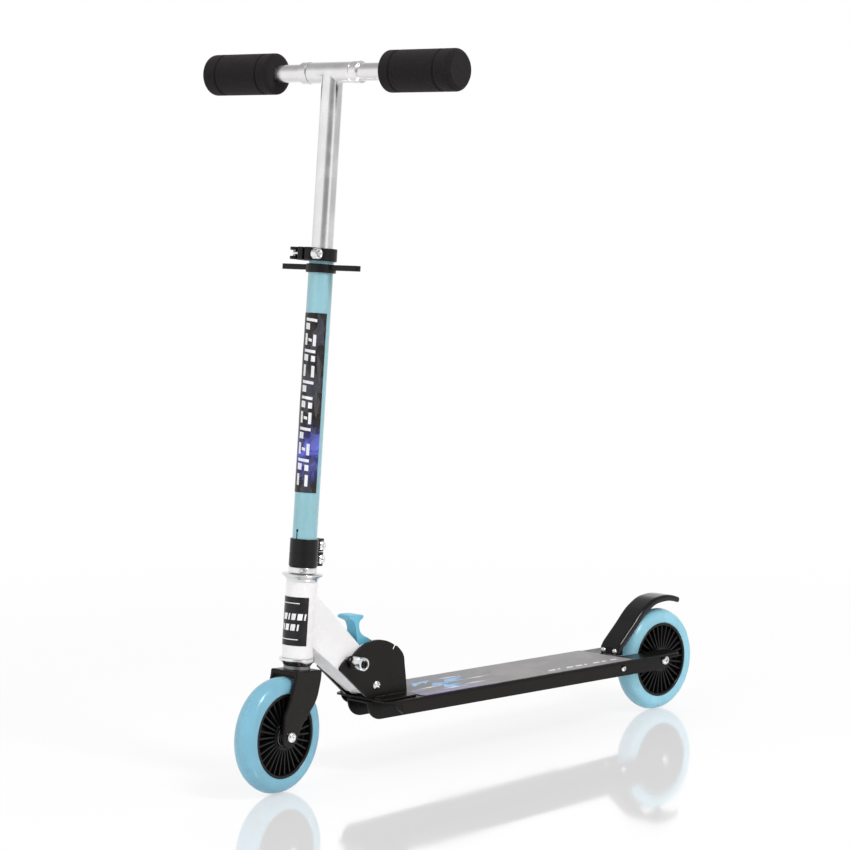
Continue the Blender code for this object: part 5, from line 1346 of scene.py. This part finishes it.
# ---- Deck ---------------------------------------------------------------------------------
@dataclass
class Deck:
    """Bent deck plate, channel, anti-slip sheet and the two hinge plates."""

    repeat: RepeatTree
    frame: Matrix = field(default_factory=lambda: PLAN.deck)
    half_width: float = 0.0440
    plate: float = 0.0020
    bend: float = 0.0030
    wall: float = 0.0148
    length: float = 0.4805
    slot_half: float = 0.0156
    slot_front: float = -0.3975
    rail_half: float = 0.0164
    rail_plate: float = 0.0022
    body: str = "deck"

    def pan(self) -> None:
        """Builds the bent plate with its wheel slot, nose, prong tips and side walls."""
        side, bend = self.half_width, self.bend
        middle = (side - bend, -bend)
        outer = [(side, -self.wall)] + Sketch.arc(middle, bend, 0, 90, 10)
        inner = [(side - self.plate, -self.wall)] + Sketch.arc(middle, bend - self.plate, 0, 90, 8)
        path = outer + [(-x, z) for x, z in reversed(outer)]
        back = inner + [(-x, z) for x, z in reversed(inner)]
        middle = self.frame @ shift(-self.length / 2) @ ACROSS
        pan = Bench.plate("bent_deck", [path + list(reversed(back))], self.length, middle)
        far = -self.length - 0.02
        half = self.slot_half
        front = self.slot_front
        slot = [(far, -half), (front, -half), (front, half), (far, half)]
        slot = Sketch.fillet(slot, 0.005, 6, closed=False)
        Bench.carve(pan, Bench.plate("wheel_slot", [slot], 0.06, self.frame))
        for sign in (1, -1):
            nose = [(0.0, 0.0370), (-0.0050, 0.0406), (-0.0120, 0.0430), (-0.0220, 0.0441)]
            nose = [(0.01, 0.0370)] + Sketch.flowing(nose, 4) + [(-0.022, 0.06), (0.01, 0.06)]
            cutter = [(x, sign * y) for x, y in nose]
            Bench.carve(pan, Bench.plate("nose_corner", [cutter], 0.06, self.frame))
            centre = (half + side) / 2
            reach = (side - half) / 2
            tip = Sketch.arc((-self.length + reach, centre), reach + 0.00002, 180, 90, 20)
            tip += [(-self.length + reach, 0.06), (far, 0.06), (far, centre)]
            cutter = [(x, sign * y) for x, y in tip]
            Bench.carve(pan, Bench.plate("prong_tip", [cutter], 0.06, self.frame))
        under = -self.plate - 0.0001
        front = [(-0.0105, under), (-0.0115, -0.0060), (-0.0150, -0.0105), (-0.0210, -0.0142)]
        walls = Sketch.fillet([*front, (-0.0260, -self.wall)], 0.003, 4, closed=False)
        rear = [(-0.3560, -self.wall), (-0.3615, -0.0138), (-0.3690, -0.0028), (-0.3760, under)]
        walls += Sketch.fillet(rear, 0.002, 5, closed=False)
        walls = [(0.01, -0.05), (0.01, under), *walls, (-0.52, under), (-0.52, -0.05)]
        Bench.carve(pan, Bench.plate("wall_cutter", [walls], 0.12, self.frame @ SIDE))
        Bench.soften(pan)
        Bench.settle(pan, Look.BLACK_PAINT, self.body, "deck_pan")

    def in_deck(self, x: float, z: float) -> Point:
        """Returns the deck frame's X and Z of a place in the object."""
        spot = self.frame.inverted() @ Vector((x, 0.0, z))
        return (spot.x, spot.z)

    def channel(self) -> None:
        """Builds the channel under the deck, whose flanges carry the rear axle."""
        axle = self.in_deck(PLAN.front_axle_x - PLAN.wheelbase, PLAN.wheel_radius)
        top = -self.plate - 0.0003
        side = [(0.0045, top)] + Sketch.arc((-0.0145, -0.0040), 0.0190, 0, -90, 20)
        side += Sketch.arc(axle, 0.0106, -90, -270, 36)
        side[-1] = (axle[0], top)
        channel = Bench.plate("rail_channel", [side], 2 * self.rail_half, self.frame @ SIDE, 0.0006)
        inner = self.rail_half - self.rail_plate
        low = (-0.52, -inner, -0.05)
        inside = Bench.block("channel_inside", low, (0.02, inner, top - self.rail_plate), self.frame)
        Bench.carve(channel, inside)
        gap = Bench.block("channel_gap", (-0.52, -inner, -0.04), (-0.39, inner, 0.01), self.frame)
        Bench.carve(channel, gap)
        brake = self.in_deck(PLAN.brake_x, PLAN.brake_z)
        for name, spot, radius in (("axle_hole", axle, 0.0041), ("brake_hole", brake, 0.0027)):
            matrix = self.frame @ shift(spot[0], 0.0, spot[1]) @ LEFT
            Bench.carve(channel, Bench.rod(name, radius, -0.03, 0.03, matrix, 40))
        Bench.settle(Bench.soften(channel), Look.BLACK_PAINT, self.body, "chassis_channel")

    def sheet(self) -> None:
        """Builds the anti-slip sheet, its rounded corners, and the print on it."""
        low, high, half = -0.3930, -0.0535, 0.0415
        outline = Sketch.fillet([(high, half), (low, half), (low, -half), (high, -half)], 0.004, 8)
        spot = self.frame @ shift(z=0.0005)
        sheet = Bench.plate("anti_slip_sheet", [outline], 0.0008, spot, 0.0002, 2)
        Bench.settle(sheet, Look.GRIP_SHEET, self.body, "grip_tape")
        top = self.frame @ shift(z=0.00094)
        shards = [
            [(-0.100, 0.006), (-0.122, 0.016), (-0.117, 0.003), (-0.137, 0.004), (-0.114, -0.006)],
            [(-0.104, 0.021), (-0.132, 0.032), (-0.121, 0.020), (-0.140, 0.014), (-0.113, 0.012)],
            [(-0.083, -0.003), (-0.108, -0.014), (-0.100, -0.004), (-0.122, -0.020), (-0.090, -0.017)],
            [(-0.128, -0.002), (-0.156, 0.006), (-0.146, -0.004), (-0.166, -0.012), (-0.137, -0.012)],
        ]
        self.print_shapes("deck_shards", shards, top, Look.CYAN_PRINT)
        spots = ((-0.112, 0.027), (-0.150, 0.022), (-0.092, 0.011), (-0.148, -0.018), (-0.174, 0.001))
        flecks = [
            [(x - 0.022, y), (x, y + 0.0022), (x + 0.017, y), (x, y - 0.0013)] for x, y in spots
        ]
        self.print_shapes("deck_flecks", flecks, top, Look.WHITE_PRINT)
        bars = []
        for index, width in enumerate((0.011, 0.004, 0.011, 0.011, 0.004, 0.011, 0.007, 0.011)):
            x = -0.263 - index * 0.0150
            lean, far, near = x - 0.002, 0.0300, 0.0255
            bars.append([(x, far), (x - width, far), (lean - width, near), (lean, near)])
        self.print_shapes("deck_bars", bars, top, Look.WHITE_PRINT)

    def print_shapes(self, name: str, shapes: list[list[Point]], place: Matrix, look: Look) -> None:
        """Prints flat shapes as a thin layer of ink.

        Args:
            name: Name of the printed layer.
            shapes: The shapes' outlines.
            place: Plane of the print.
            look: The ink.
        """
        ink = Bench.merge(name, [Bench.plate(name, [shape], 0.00006, place) for shape in shapes])
        Bench.settle(ink, look, self.body, slot="grip_tape")

    def notch(self, angle: float, before: float, after: float) -> list[Point]:
        """Returns a round-bottomed notch in the hinge plate, passed from front to rear."""
        half = 0.0020
        across = (math.sin(math.radians(angle)), -math.cos(math.radians(angle)))
        start = Sketch.polar(math.sqrt(before**2 - half**2), angle)
        end = Sketch.polar(math.sqrt(after**2 - half**2), angle)
        points = [(start[0] + across[0] * half, start[1] + across[1] * half)]
        points += Sketch.arc(Sketch.polar(0.0425 + half, angle), half, angle - 90, angle - 270, 16)
        return points + [(end[0] - across[0] * half, end[1] - across[1] * half)]

    def height_at(self, x: float) -> float:
        """Returns the deck's top height at a place along the object from the fold pivot."""
        ahead = PLAN.deck_x - PLAN.pivot_x
        return PLAN.deck_z - (ahead - x) * math.tan(PLAN.deck_slope) - PLAN.pivot_z

    def hinge_plates(self) -> None:
        """Builds the side plates with their feet and a row of weld beads along each."""
        points = [(0.0166, self.height_at(0.0166) + 0.0057), (0.0512, 0.0222)]
        points += [(0.0510, 0.0250), (0.0473, 0.0291)]
        points += [Sketch.polar(0.0545, 34.6)] + self.notch(40.3, 0.0535, 0.0479)
        points += Sketch.arc((0, 0), 0.0479, 46, 121, 48)
        points += self.notch(126.8, 0.0479, 0.0490)
        points += Sketch.arc((0, 0), 0.0490, 133, 144, 8)
        rear = [(-0.0413, 0.0245), (-0.0422, 0.0150), (-0.0440, 0.0)]
        rear += [(-0.0451, self.height_at(-0.0451) + 0.00025)]
        points += Sketch.fillet(rear, 0.004, 4, closed=False)
        points += [(0.0055, self.height_at(0.0055) + 0.00025), (0.0120, self.height_at(0.0120) + 0.0020)]
        for sign, side in SIDES:
            spot = PLAN.pivot @ shift(y=sign * 0.0169) @ SIDE
            loops = [points, Sketch.circle((0, 0), 0.0042)]
            plate = Bench.plate(f"hinge_cheek_{side}", loops, 0.0030, spot, 0.0004)
            near, far = sign * 0.0164, sign * 0.0362
            tip = PLAN.pivot_x + 0.0050 - PLAN.deck_x
            tail = PLAN.pivot_x - 0.0451 - PLAN.deck_x
            foot = [(tip, near), (tip, far), (tail, far), (tail, near)]
            foot = Sketch.fillet(foot, 0.007, 6, closed=False)
            flange = Bench.plate("hinge_foot", [foot], 0.0020, self.frame @ shift(z=0.00125), 0.0004)
            Bench.carve(plate, flange, "UNION")
            Bench.soften(plate)
            Bench.settle(plate, Look.BLACK_PAINT, self.body, f"hinge_plate_{side}")
            bead = bmesh.new()
            bmesh.ops.create_uvsphere(bead, u_segments=12, v_segments=8, radius=1.0)
            obj = Bench.add(f"weld_bead_{side}", bead, Matrix.Diagonal((0.0021, 0.0020, 0.0013, 1.0)))
            start = self.frame @ shift(tail + 0.003, sign * 0.0186, 0.0023)
            row = self.repeat.repeat(obj, 19, (0.0024, 0.0, 0.0), 0.0, start, Look.BLACK_PAINT)
            Bench.settle(row, Look.BLACK_PAINT, self.body, slot=f"hinge_plate_{side}")

    def cross_bolt(
        self, name: str, axis: Matrix, radius: float, head: float, seat: float, nut: Point
    ) -> None:
        """Builds a bolt with a domed head on the left and a nut on the right.

        Args:
            name: Stem of the bolt's and nut's node names.
            axis: The bolt's axis.
            radius: Radius of its shank.
            head: Radius of its head.
            seat: Distance from the middle to where it clamps.
            nut: The nut's radius and height.
        """
        low = seat + 0.0003
        tail = -low - nut[1] - 0.0004
        dome = ((0.0, 0.28), (0.34, 0.28), (0.37, 0.53), (0.6, 0.47), (0.82, 0.34), (0.96, 0.16))
        profile = [(head * reach, low + head * rise) for reach, rise in dome]
        profile += [(head, low), (radius, low), (radius, tail + 0.0004)]
        profile += [(radius - 0.0004, tail), (0.0, tail)]
        bolt = Bench.turned(name + "_screw", profile, axis, 56, ring=False)
        Bench.settle(bolt, Look.ZINC, self.body, name + "_bolt")
        loops = [Sketch.circle((0, 0), nut[0], 6), Sketch.circle((0, 0), radius + 0.0002, 40)]
        piece = Bench.plate(name + "_locknut", loops, nut[1], axis @ shift(z=-low - nut[1] / 2), 0.0004)
        Bench.settle(piece, Look.ZINC, self.body, name + "_nut")

    def build(self) -> None:
        """Builds the deck and its hinge."""
        self.pan()
        self.channel()
        self.sheet()
        self.hinge_plates()
        self.cross_bolt("pivot", PLAN.pivot @ LEFT, 0.0040, 0.0050, 0.0184, (0.0070, 0.0050))
        self.cross_bolt("brake", PLAN.brake @ LEFT, 0.0025, 0.0038, 0.0164, (0.0045, 0.0034))


# ---- Handlebar ----------------------------------------------------------------------------
@dataclass
class Handlebar:
    """Sliding inner tube with its sleeve, two pull-out bars and their foam grips."""

    frame: Matrix = field(default_factory=lambda: PLAN.steered)
    height: float = 0.7392
    bottom: float = 0.3920
    tube_radius: float = 0.0112
    sleeve_radius: float = 0.0109
    sleeve_half: float = 0.0280
    bar_radius: float = 0.0092
    grip_radius: float = 0.0215
    grip_inner: float = 0.0730
    grip_outer: float = 0.1634

    def stem(self) -> None:
        """Builds the inner tube and the sleeve across its top, joined in one piece."""
        radius = self.tube_radius
        profile = [(0.0, self.height), (radius, self.height), (radius, self.bottom + 0.0003)]
        profile += [(radius - 0.0003, self.bottom), (0.0, self.bottom)]
        tube = Bench.turned("sliding_t_bar", profile, self.frame, 96, ring=False)
        across = self.frame @ shift(z=self.height) @ LEFT
        end = self.sleeve_half
        sleeve = [(0.0, end), (self.sleeve_radius - 0.0005, end), (self.sleeve_radius, end - 0.0005)]
        sleeve += [(self.sleeve_radius, 0.0005 - end), (self.sleeve_radius - 0.0005, -end), (0.0, -end)]
        Bench.carve(tube, Bench.turned("sleeve", sleeve, across, 96, ring=False), "UNION")
        bore = (radius - 0.0015, self.bottom - 0.01, self.height)
        Bench.carve(tube, Bench.rod("tube_bore", *bore, self.frame, 96))
        Bench.carve(tube, Bench.rod("sleeve_bore", self.bar_radius + 0.0003, -0.05, 0.05, across, 96))
        Bench.settle(Bench.soften(tube), Look.CHROME, "handlebar", "t_bar")

    def bars(self) -> None:
        """Builds the pull-out bars with their rings, and the grips on them."""
        top = self.frame @ shift(z=self.height)
        for turn, side in ((LEFT, "left"), (SIDE, "right")):
            axis = top @ turn
            start = self.sleeve_half + 0.0003
            stop = start + 0.0100
            radius = self.bar_radius
            inner = radius - 0.0014
            bar = [(inner, self.grip_outer - 0.008), (radius, self.grip_outer - 0.008), (radius, stop)]
            bar += [(0.0108, stop), (0.0114, stop - 0.0006), (0.0114, start + 0.0006), (0.0108, start)]
            bar += [(radius, start), (radius, 0.0015), (inner, 0.0015)]
            body = side + "_bar"
            pull_bar = Bench.turned("pull_bar_" + side, bar, axis, 96)
            Bench.settle(pull_bar, Look.CHROME, body, "bar_" + side)
            grip = Bench.turned("foam_grip_" + side, self.grip_profile(), axis, 128, ring=False)
            Bench.settle(grip, Look.FOAM, body, "grip_" + side)

    def grip_profile(self) -> list[Point]:
        """Returns the grip's section, closed at its outer end and bored for the bar."""
        radius, outer, inner = self.grip_radius, self.grip_outer, self.grip_inner
        bore = self.bar_radius + 0.0003
        face = [(0.0, outer - 0.0004), (0.0163, outer), (0.0172, outer)]
        face += [(radius, outer - 0.0040), (radius, 0.145)]
        face = Sketch.fillet(face, 0.004, 8, closed=False)
        groove = Sketch.doubled([(radius, 0.0019), (radius - 0.0005, 0.0012), (radius - 0.0012, 0.0006)])
        rim = []
        for middle in (outer - 0.0200, inner + 0.0150):
            rim += [(reach, middle + height) for reach, height in groove]
        back = [(radius, inner + 0.010), (radius, inner + 0.0020)]
        back += [(radius - 0.0040, inner), (bore + 0.001, inner)]
        back = Sketch.fillet([*back, (bore, inner)], 0.005, 8, closed=False)
        return face[:-1] + rim + back + [(bore, outer - 0.006), (0.0, outer - 0.006)]

    def build(self) -> None:
        """Builds the handlebar."""
        self.stem()
        self.bars()


# ---- Brake --------------------------------------------------------------------------------
@dataclass
class Brake:
    """Fender brake on its sprung knuckle."""

    half_width: float = 0.0147
    wall: float = 0.0020
    bend: float = 0.0034
    depth: float = 0.0070
    body: str = "brake"

    def fender(self) -> None:
        """Builds the fender, a bent channel over the wheel with a lower edge at its tip."""
        path = [(-0.5195, 0.0756), (-0.5195, 0.0836), (-0.5236, 0.0893), (-0.5330, 0.0975)]
        path += [(-0.5470, 0.1095), (-0.5565, 0.1183), (-0.5670, 0.1264), (-0.5830, 0.1342)]
        path += [(-0.5960, 0.1364), (-0.6080, 0.1367), (-0.6200, 0.1349), (-0.6300, 0.1318)]
        line = path[:3] + Sketch.flowing(path[3:], 5)
        last = len(line) - 1
        shape = bmesh.new()
        rows = []
        for index, heading in enumerate(Sketch.headings(line)):
            point = line[index]
            depth = self.depth * (1.0 - 0.25 * max(0, index - last + 2) ** 2 / 4)
            row = []
            for across, down in self.section(depth):
                x = point[0] + heading.y * down + PLAN.front_axle_x - PLAN.brake_x
                z = point[1] - heading.x * down - PLAN.brake_z
                row.append(shape.verts.new((x, across, z)))
            rows.append(row)
        Bench.skin(shape, rows, closed=False)
        fender = Bench.add("bent_fender", shape, PLAN.brake)
        sheet = fender.modifiers.new("sheet", "SOLIDIFY")
        sheet.thickness = self.wall
        sheet.offset = -1.0
        sheet.use_even_offset = False
        Bench.bake(fender)
        for sign, side in SIDES:
            axis = self.rivet_axis(sign, -0.5195)
            Bench.carve(fender, Bench.rod("screw_hole", 0.0018, -0.006, 0.006, axis, 32))
            profile = [(0.0, 0.0012), (0.0009, 0.0012), (0.0011, 0.0021), (0.0018, 0.0020), (0.0028, 0.0013)]
            profile += [(0.0033, 0.0004), (0.0033, 0.0001), (0.0016, 0.0001)]
            profile += [(0.0016, -0.0060), (0.0, -0.0060)]
            screw = Bench.turned("fender_rivet_" + side, profile, axis, 40, ring=False)
            Bench.settle(screw, Look.ZINC, self.body, "fender_screw_" + side)
        Bench.soften(fender)
        Bench.settle(fender, Look.GLOSS_BLACK, self.body, "brake_fender")

    def rivet_axis(self, side: int, reach: float) -> Matrix:
        """Returns a fender screw's axis, pointing forward, at a reach from the front axle."""
        spot = shift(PLAN.front_axle_x + reach, side * 0.0085, 0.0795)
        return spot @ Matrix.Rotation(math.pi / 2, 4, "Y")

    def section(self, depth: float) -> list[Point]:
        """Returns the fender's outside across the wheel and down from its top line."""
        half, bend = self.half_width, self.bend
        left = [(-half, -depth)] + Sketch.arc((-half + bend, -bend), bend, 180, 90, 7)
        return left + [(-x, z) for x, z in reversed(left)]

    def knuckle(self) -> None:
        """Builds the forked block that carries the fender on its bolt."""
        front = PLAN.front_axle_x - 0.5221 - PLAN.brake_x
        outline = [(front, 0.0208), (front - 0.0034, 0.0208), (front - 0.0034, 0.0080)]
        outline += Sketch.arc((0, 0), 0.0058, 130, 385, 40)
        loops = [outline, Sketch.circle((0, 0), 0.0027)]
        knuckle = Bench.plate("brake_hinge_block", loops, 0.0224, PLAN.brake @ SIDE, 0.0004)
        low, high = (-0.01, -0.0046, -0.01), (0.01, 0.0046, 0.0105)
        Bench.carve(knuckle, Bench.block("knuckle_gap", low, high, PLAN.brake))
        for sign in (1, -1):
            spot = self.rivet_axis(sign, -0.5200)
            Bench.carve(knuckle, Bench.rod("knuckle_hole", 0.0018, -0.012, 0.006, spot, 32))
        Bench.settle(Bench.soften(knuckle), Look.STEEL, self.body, "brake_knuckle")

    def spring(self) -> None:
        """Builds the torsion spring round the brake's bolt."""
        radius, turns, steps, pitch = 0.0039, 4, 32, 0.0013
        points = [(-0.0128, -turns * pitch / 2, -0.0029), (-0.0060, -turns * pitch / 2, -0.0036)]
        for index in range(turns * steps + 1):
            angle = -math.pi / 2 - 2 * math.pi * index / steps
            height = -turns * pitch / 2 + pitch * index / steps
            points.append((radius * math.cos(angle), height, radius * math.sin(angle)))
        points.append((-0.0100, turns * pitch / 2, -0.0042))
        wire = Bench.wire("return_spring", points, 0.0005, PLAN.brake)
        Bench.settle(wire, Look.STEEL, "deck", "brake_spring")

    def build(self) -> None:
        """Builds the brake."""
        self.fender()
        self.knuckle()
        self.spring()


# ---- Printed films ------------------------------------------------------------------------
@dataclass
class Films:
    """Printed films on the head tube and the steering tube, with shapes of no maker."""

    thickness: float = 0.0003
    gap: float = 0.0001
    tube_radius: float = 0.0129
    head_radius: float = 0.01625

    def wrap(
        self, name: str, radius: float, low: float, high: float, half: float, place: Matrix
    ) -> Piece:
        """Wraps a thin sheet round the front of a tube.

        Args:
            name: Name of the sheet.
            radius: Radius of the tube.
            low: Height of its lower edge.
            high: Height of its upper edge.
            half: Half of the angle that it covers, in degrees.
            place: Frame of the tube.

        Returns:
            The sheet's object.
        """
        outer = Sketch.arc((0, 0), radius + self.gap + self.thickness, -half, half, 48)
        inner = Sketch.arc((0, 0), radius + self.gap, half, -half, 48)
        return Bench.plate(name, [outer + inner], high - low, place @ shift(z=(low + high) / 2))

    def ink(self, name: str, radius: float, shapes: list[list[Point]], place: Matrix) -> Piece:
        """Prints flat shapes round a tube.

        Args:
            name: Name of the ink layer.
            radius: Radius of the film's outside.
            shapes: Outlines of arc length and height.
            place: Frame of the tube.

        Returns:
            The ink's object.
        """
        flat = Matrix.Identity(4)
        ink = Bench.merge(name, [Bench.plate(name, [shape], 0.0001, flat) for shape in shapes])
        shape = bmesh.new()
        shape.from_mesh(ink.data)
        for cut in range(-20, 21):
            plane = {"plane_co": (cut * 0.0013, 0, 0), "plane_no": (1, 0, 0)}
            bmesh.ops.bisect_plane(shape, geom=[*shape.verts, *shape.edges, *shape.faces], **plane)
        bmesh.ops.triangulate(shape, faces=shape.faces)
        for vert in shape.verts:
            angle = vert.co.x / radius
            reach = radius + 0.00002 + vert.co.z
            vert.co = (reach * math.cos(angle), reach * math.sin(angle), vert.co.y)
        shape.transform(place)
        bmesh.ops.recalc_face_normals(shape, faces=shape.faces)
        shape.to_mesh(ink.data)
        shape.free()
        Bench.smooth(ink)
        return ink

    def stroke(self, left: float, right: float, top: float, low: float, drop: float) -> list[Point]:
        """Returns a block whose top and bottom fall by the drop from left to right."""
        return [(left, top), (left, low), (right, low - drop), (right, top - drop)]

    def tube(self) -> None:
        """Builds the long film, its column of white blocks and its grey shards."""
        place = PLAN.steered
        film = self.wrap("tube_film", self.tube_radius, 0.3075, 0.4920, 82, place)
        Bench.settle(film, Look.TUBE_FILM, "column", "tube_sticker")
        blocks = []
        left, right = -0.0045, 0.0086
        kinds = ((1, 0), (0, 1), (1, 1), (0, 0), (1, 0), (1, 1), (0, 1), (1, 0), (0, 1), (1, 1), (0, 0))
        for index, (bar, split) in enumerate(kinds):
            top = 0.4870 - index * 0.0160
            low = top - 0.0118
            if bar:
                blocks.append(self.stroke(left, right, top, top - 0.0030, 0.0014))
                blocks.append(self.stroke(left, left + 0.0055, top - 0.0052, low, 0.0006))
                if split:
                    blocks.append(self.stroke(right - 0.0042, right, top - 0.0068, low - 0.0010, 0.0004))
            else:
                blocks.append(self.stroke(left, left + 0.0032, top, low, 0.0003))
                blocks.append(self.stroke(right - 0.0032, right, top - 0.0011, low - 0.0011, 0.0003))
                if split:
                    middle = (left + 0.0046, right - 0.0046)
                    blocks.append(self.stroke(*middle, top - 0.0048, top - 0.0078, 0.0010))
        radius = self.tube_radius + self.gap + self.thickness
        ink = self.ink("tube_white_blocks", radius, blocks, place)
        Bench.settle(ink, Look.WHITE_PRINT, "column", slot="tube_sticker")
        shards = [[(0.0105, 0.452), (0.0165, 0.438), (0.0150, 0.420), (0.0120, 0.428), (0.0108, 0.440)]]
        shards += [[(0.0108, 0.415), (0.0170, 0.402), (0.0132, 0.384), (0.0105, 0.396)]]
        shards += [[(-0.0150, 0.468), (-0.0075, 0.450), (-0.0110, 0.432), (-0.0165, 0.446)]]
        shards += [[(-0.0160, 0.418), (-0.0080, 0.408), (-0.0120, 0.380), (-0.0170, 0.392)]]
        ink = self.ink("tube_grey_shards", radius, shards, place)
        Bench.settle(ink, Look.GREY_PRINT, "column", slot="tube_sticker")

    def head(self) -> None:
        """Builds the short film with its two rules and two rows of blocks."""
        place = PLAN.stem
        film = self.wrap("head_film", self.head_radius, 0.1500, 0.2000, 78, place)
        Bench.settle(film, Look.HEAD_FILM, "neck", "head_sticker")
        rule = 0.0009
        shapes = [self.stroke(-0.013, 0.013, z + rule, z, 0.0) for z in (0.1560, 0.1932)]
        for row, z in enumerate((0.1765, 0.1655)):
            x = -0.0175
            for index, width in enumerate((0.0052, 0.0018, 0.0052, 0.0018, 0.0046, 0.0052, 0.0018)[row:]):
                lean, top = x + 0.0008, z + 0.0066
                shapes.append([(x, z), (x + width, z), (lean + width, top), (lean, top)])
                x += width + 0.0020
        radius = self.head_radius + self.gap + self.thickness
        ink = self.ink("head_white_marks", radius, shapes, place)
        Bench.settle(ink, Look.WHITE_PRINT, "neck", slot="head_sticker")

    def build(self) -> None:
        """Builds both films."""
        self.tube()
        self.head()


# ---- Studio -------------------------------------------------------------------------------
@dataclass
class Studio:
    """Pale glossy floor, soft lights, white surroundings and the camera."""

    spot: Triple = (2.00974, 1.9483, 0.6132)
    yaw: float = math.radians(45.3)
    pitch: float = math.radians(5.19)
    roll: float = math.radians(-0.25)
    lens: float = 108.43
    polish: float = 0.66

    def floor(self) -> None:
        """Builds the floor, which fades to plain white away from the scooter."""
        shape = bmesh.new()
        bmesh.ops.create_circle(shape, cap_ends=True, segments=96, radius=9.0)
        floor = Bench.add("studio_floor", shape, shift(z=-0.0004))
        tree = Graph("studio_floor_white")
        plain = tree.add("BsdfDiffuse", Color=(0.97, 0.96, 0.965, 1.0))
        haze = tree.span(tree.noise(6.0, 3.0), 0.3, 0.7, 0.05, 0.09)
        gloss = tree.add("BsdfGlossy", Color=WHITE, Roughness=haze)
        surface = tree.add("MixShader", self.polish, plain.outputs[0], gloss.outputs[0])
        white = tree.add("Emission", Strength=1.0)
        ray = tree.add("LightPath").outputs
        seen = tree.math("MAXIMUM", ray["Is Camera Ray"], ray["Is Glossy Ray"])
        away = tree.add("VectorMath", tree.place)
        away.operation = "LENGTH"
        share = tree.math("MULTIPLY", seen, tree.span(away.outputs["Value"], 0.45, 1.7, 0.52, 1.0))
        blend = tree.add("MixShader", share, surface.outputs[0], white.outputs[0])
        tree.join(blend.outputs[0], tree.nodes["Material Output"].inputs["Surface"])
        floor.data.materials.append(tree.owner)

    def surroundings(self) -> None:
        """Makes the world: white where it is seen, softly graded where it lights or reflects."""
        tree = Graph("studio_world", bpy.data.worlds)
        bpy.context.scene.world = tree.owner
        split = tree.add("SeparateXYZ", tree.add("TexCoord").outputs["Generated"]).outputs
        turn = tree.math("ARCTAN2", split["Y"], split["X"])
        scale = tree.add("MapRange", turn, From_Min=-math.pi, From_Max=math.pi)
        bands = tree.add("ValToRGB", scale.outputs[0])
        stops = ((0.0, 0.80), (0.07, 1.08), (0.16, 1.08), (0.22, 0.85), (0.30, 1.0), (0.44, 1.10))
        stops += ((0.54, 1.10), (0.575, 0.52), (0.64, 0.32), (0.71, 0.42), (0.735, 1.12))
        stops += ((0.775, 1.12), (0.80, 0.66), (0.92, 0.64))
        ramp = bands.color_ramp
        while len(ramp.elements) < len(stops):
            ramp.elements.new(0.5)
        for element, (spot, level) in zip(ramp.elements, stops):
            element.position = spot
            element.color = (level, level, level * 1.01, 1.0)
        lift = tree.add("MapRange", split["Z"], From_Min=0.25, From_Max=0.70)
        up = tree.blend(lift.outputs[0], bands.outputs["Color"], (0.50, 0.49, 0.50))
        graded = tree.add("Background", up, Strength=0.92)
        white = tree.add("Background", WHITE)
        seen = tree.add("LightPath").outputs["Is Camera Ray"]
        blend = tree.add("MixShader", seen, graded.outputs[0], white.outputs[0])
        tree.join(blend.outputs[0], tree.nodes["World Output"].inputs["Surface"])

    def lamp(
        self, name: str, spot: Triple, aim: Triple, size: Point, power: float, glint: bool = True
    ) -> None:
        """Adds a soft rectangular lamp.

        Args:
            name: Name of the lamp.
            spot: Where it is.
            aim: Where it points.
            size: Its two sides.
            power: Its power in watts.
            glint: Whether it shows as a highlight.
        """
        light = bpy.data.lights.new(name, "AREA")
        light.shape = "RECTANGLE"
        light.size, light.size_y = size
        light.energy = power
        obj = shown(name, light)
        obj.visible_glossy = glint
        heading = Vector(aim) - Vector(spot)
        obj.matrix_world = shift(*spot) @ heading.to_track_quat("-Z", "Y").to_matrix().to_4x4()

    def camera(self) -> None:
        """Adds the camera and makes it the scene's own."""
        data = bpy.data.cameras.new("studio_camera")
        data.lens = self.lens
        data.sensor_width = 36.0
        data.clip_start = 0.05
        data.clip_end = 60.0
        obj = shown("studio_camera", data)
        flat = math.cos(self.pitch)
        heading = Vector((-math.cos(self.yaw) * flat, -math.sin(self.yaw) * flat, -math.sin(self.pitch)))
        turn = heading.to_track_quat("-Z", "Y").to_matrix().to_4x4()
        obj.matrix_world = shift(*self.spot) @ turn @ Matrix.Rotation(self.roll, 4, "Z")
        bpy.context.scene.camera = obj

    def build(self) -> None:
        """Builds the studio."""
        bpy.context.scene.view_settings.view_transform = "Standard"
        self.floor()
        self.surroundings()
        self.lamp("key_lamp", (0.1, 2.05, 2.4), (0.0, 0.0, 0.3), (0.6, 0.9), 42.0)
        self.lamp("front_lamp", (2.4, 0.2, 1.3), (0.0, 0.0, 0.35), (0.9, 1.6), 18.0, False)
        self.lamp("rear_lamp", (-2.0, -0.9, 1.9), (0.0, 0.0, 0.3), (1.4, 1.0), 10.0, False)
        self.camera()


def main() -> None:
    """Loads the frame and builds every piece of the scooter around it."""
    logging.basicConfig(level=logging.INFO, format="%(name)s: %(message)s")
    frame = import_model()
    LOG.info("frame holds %d nodes", len(frame["nodes"]))
    repeat = RepeatTree()
    Studio().build()
    for assembly in (
        # The front tyre's finish carries painted shade: its colour is darker than the rear tyre's.
        Wheel("front", "column", PLAN.front_axle, repeat, Look.FRONT_TYRE, 0.0180, 0.0147),
        Wheel("rear", "deck", PLAN.rear_axle, repeat, Look.REAR_TYRE, 0.0164, 0.0142),
        Column(),
        Neck(),
        Deck(repeat),
        Handlebar(),
        Brake(),
        Films(),
    ):
        assembly.build()


if __name__ == "__main__":
    main()
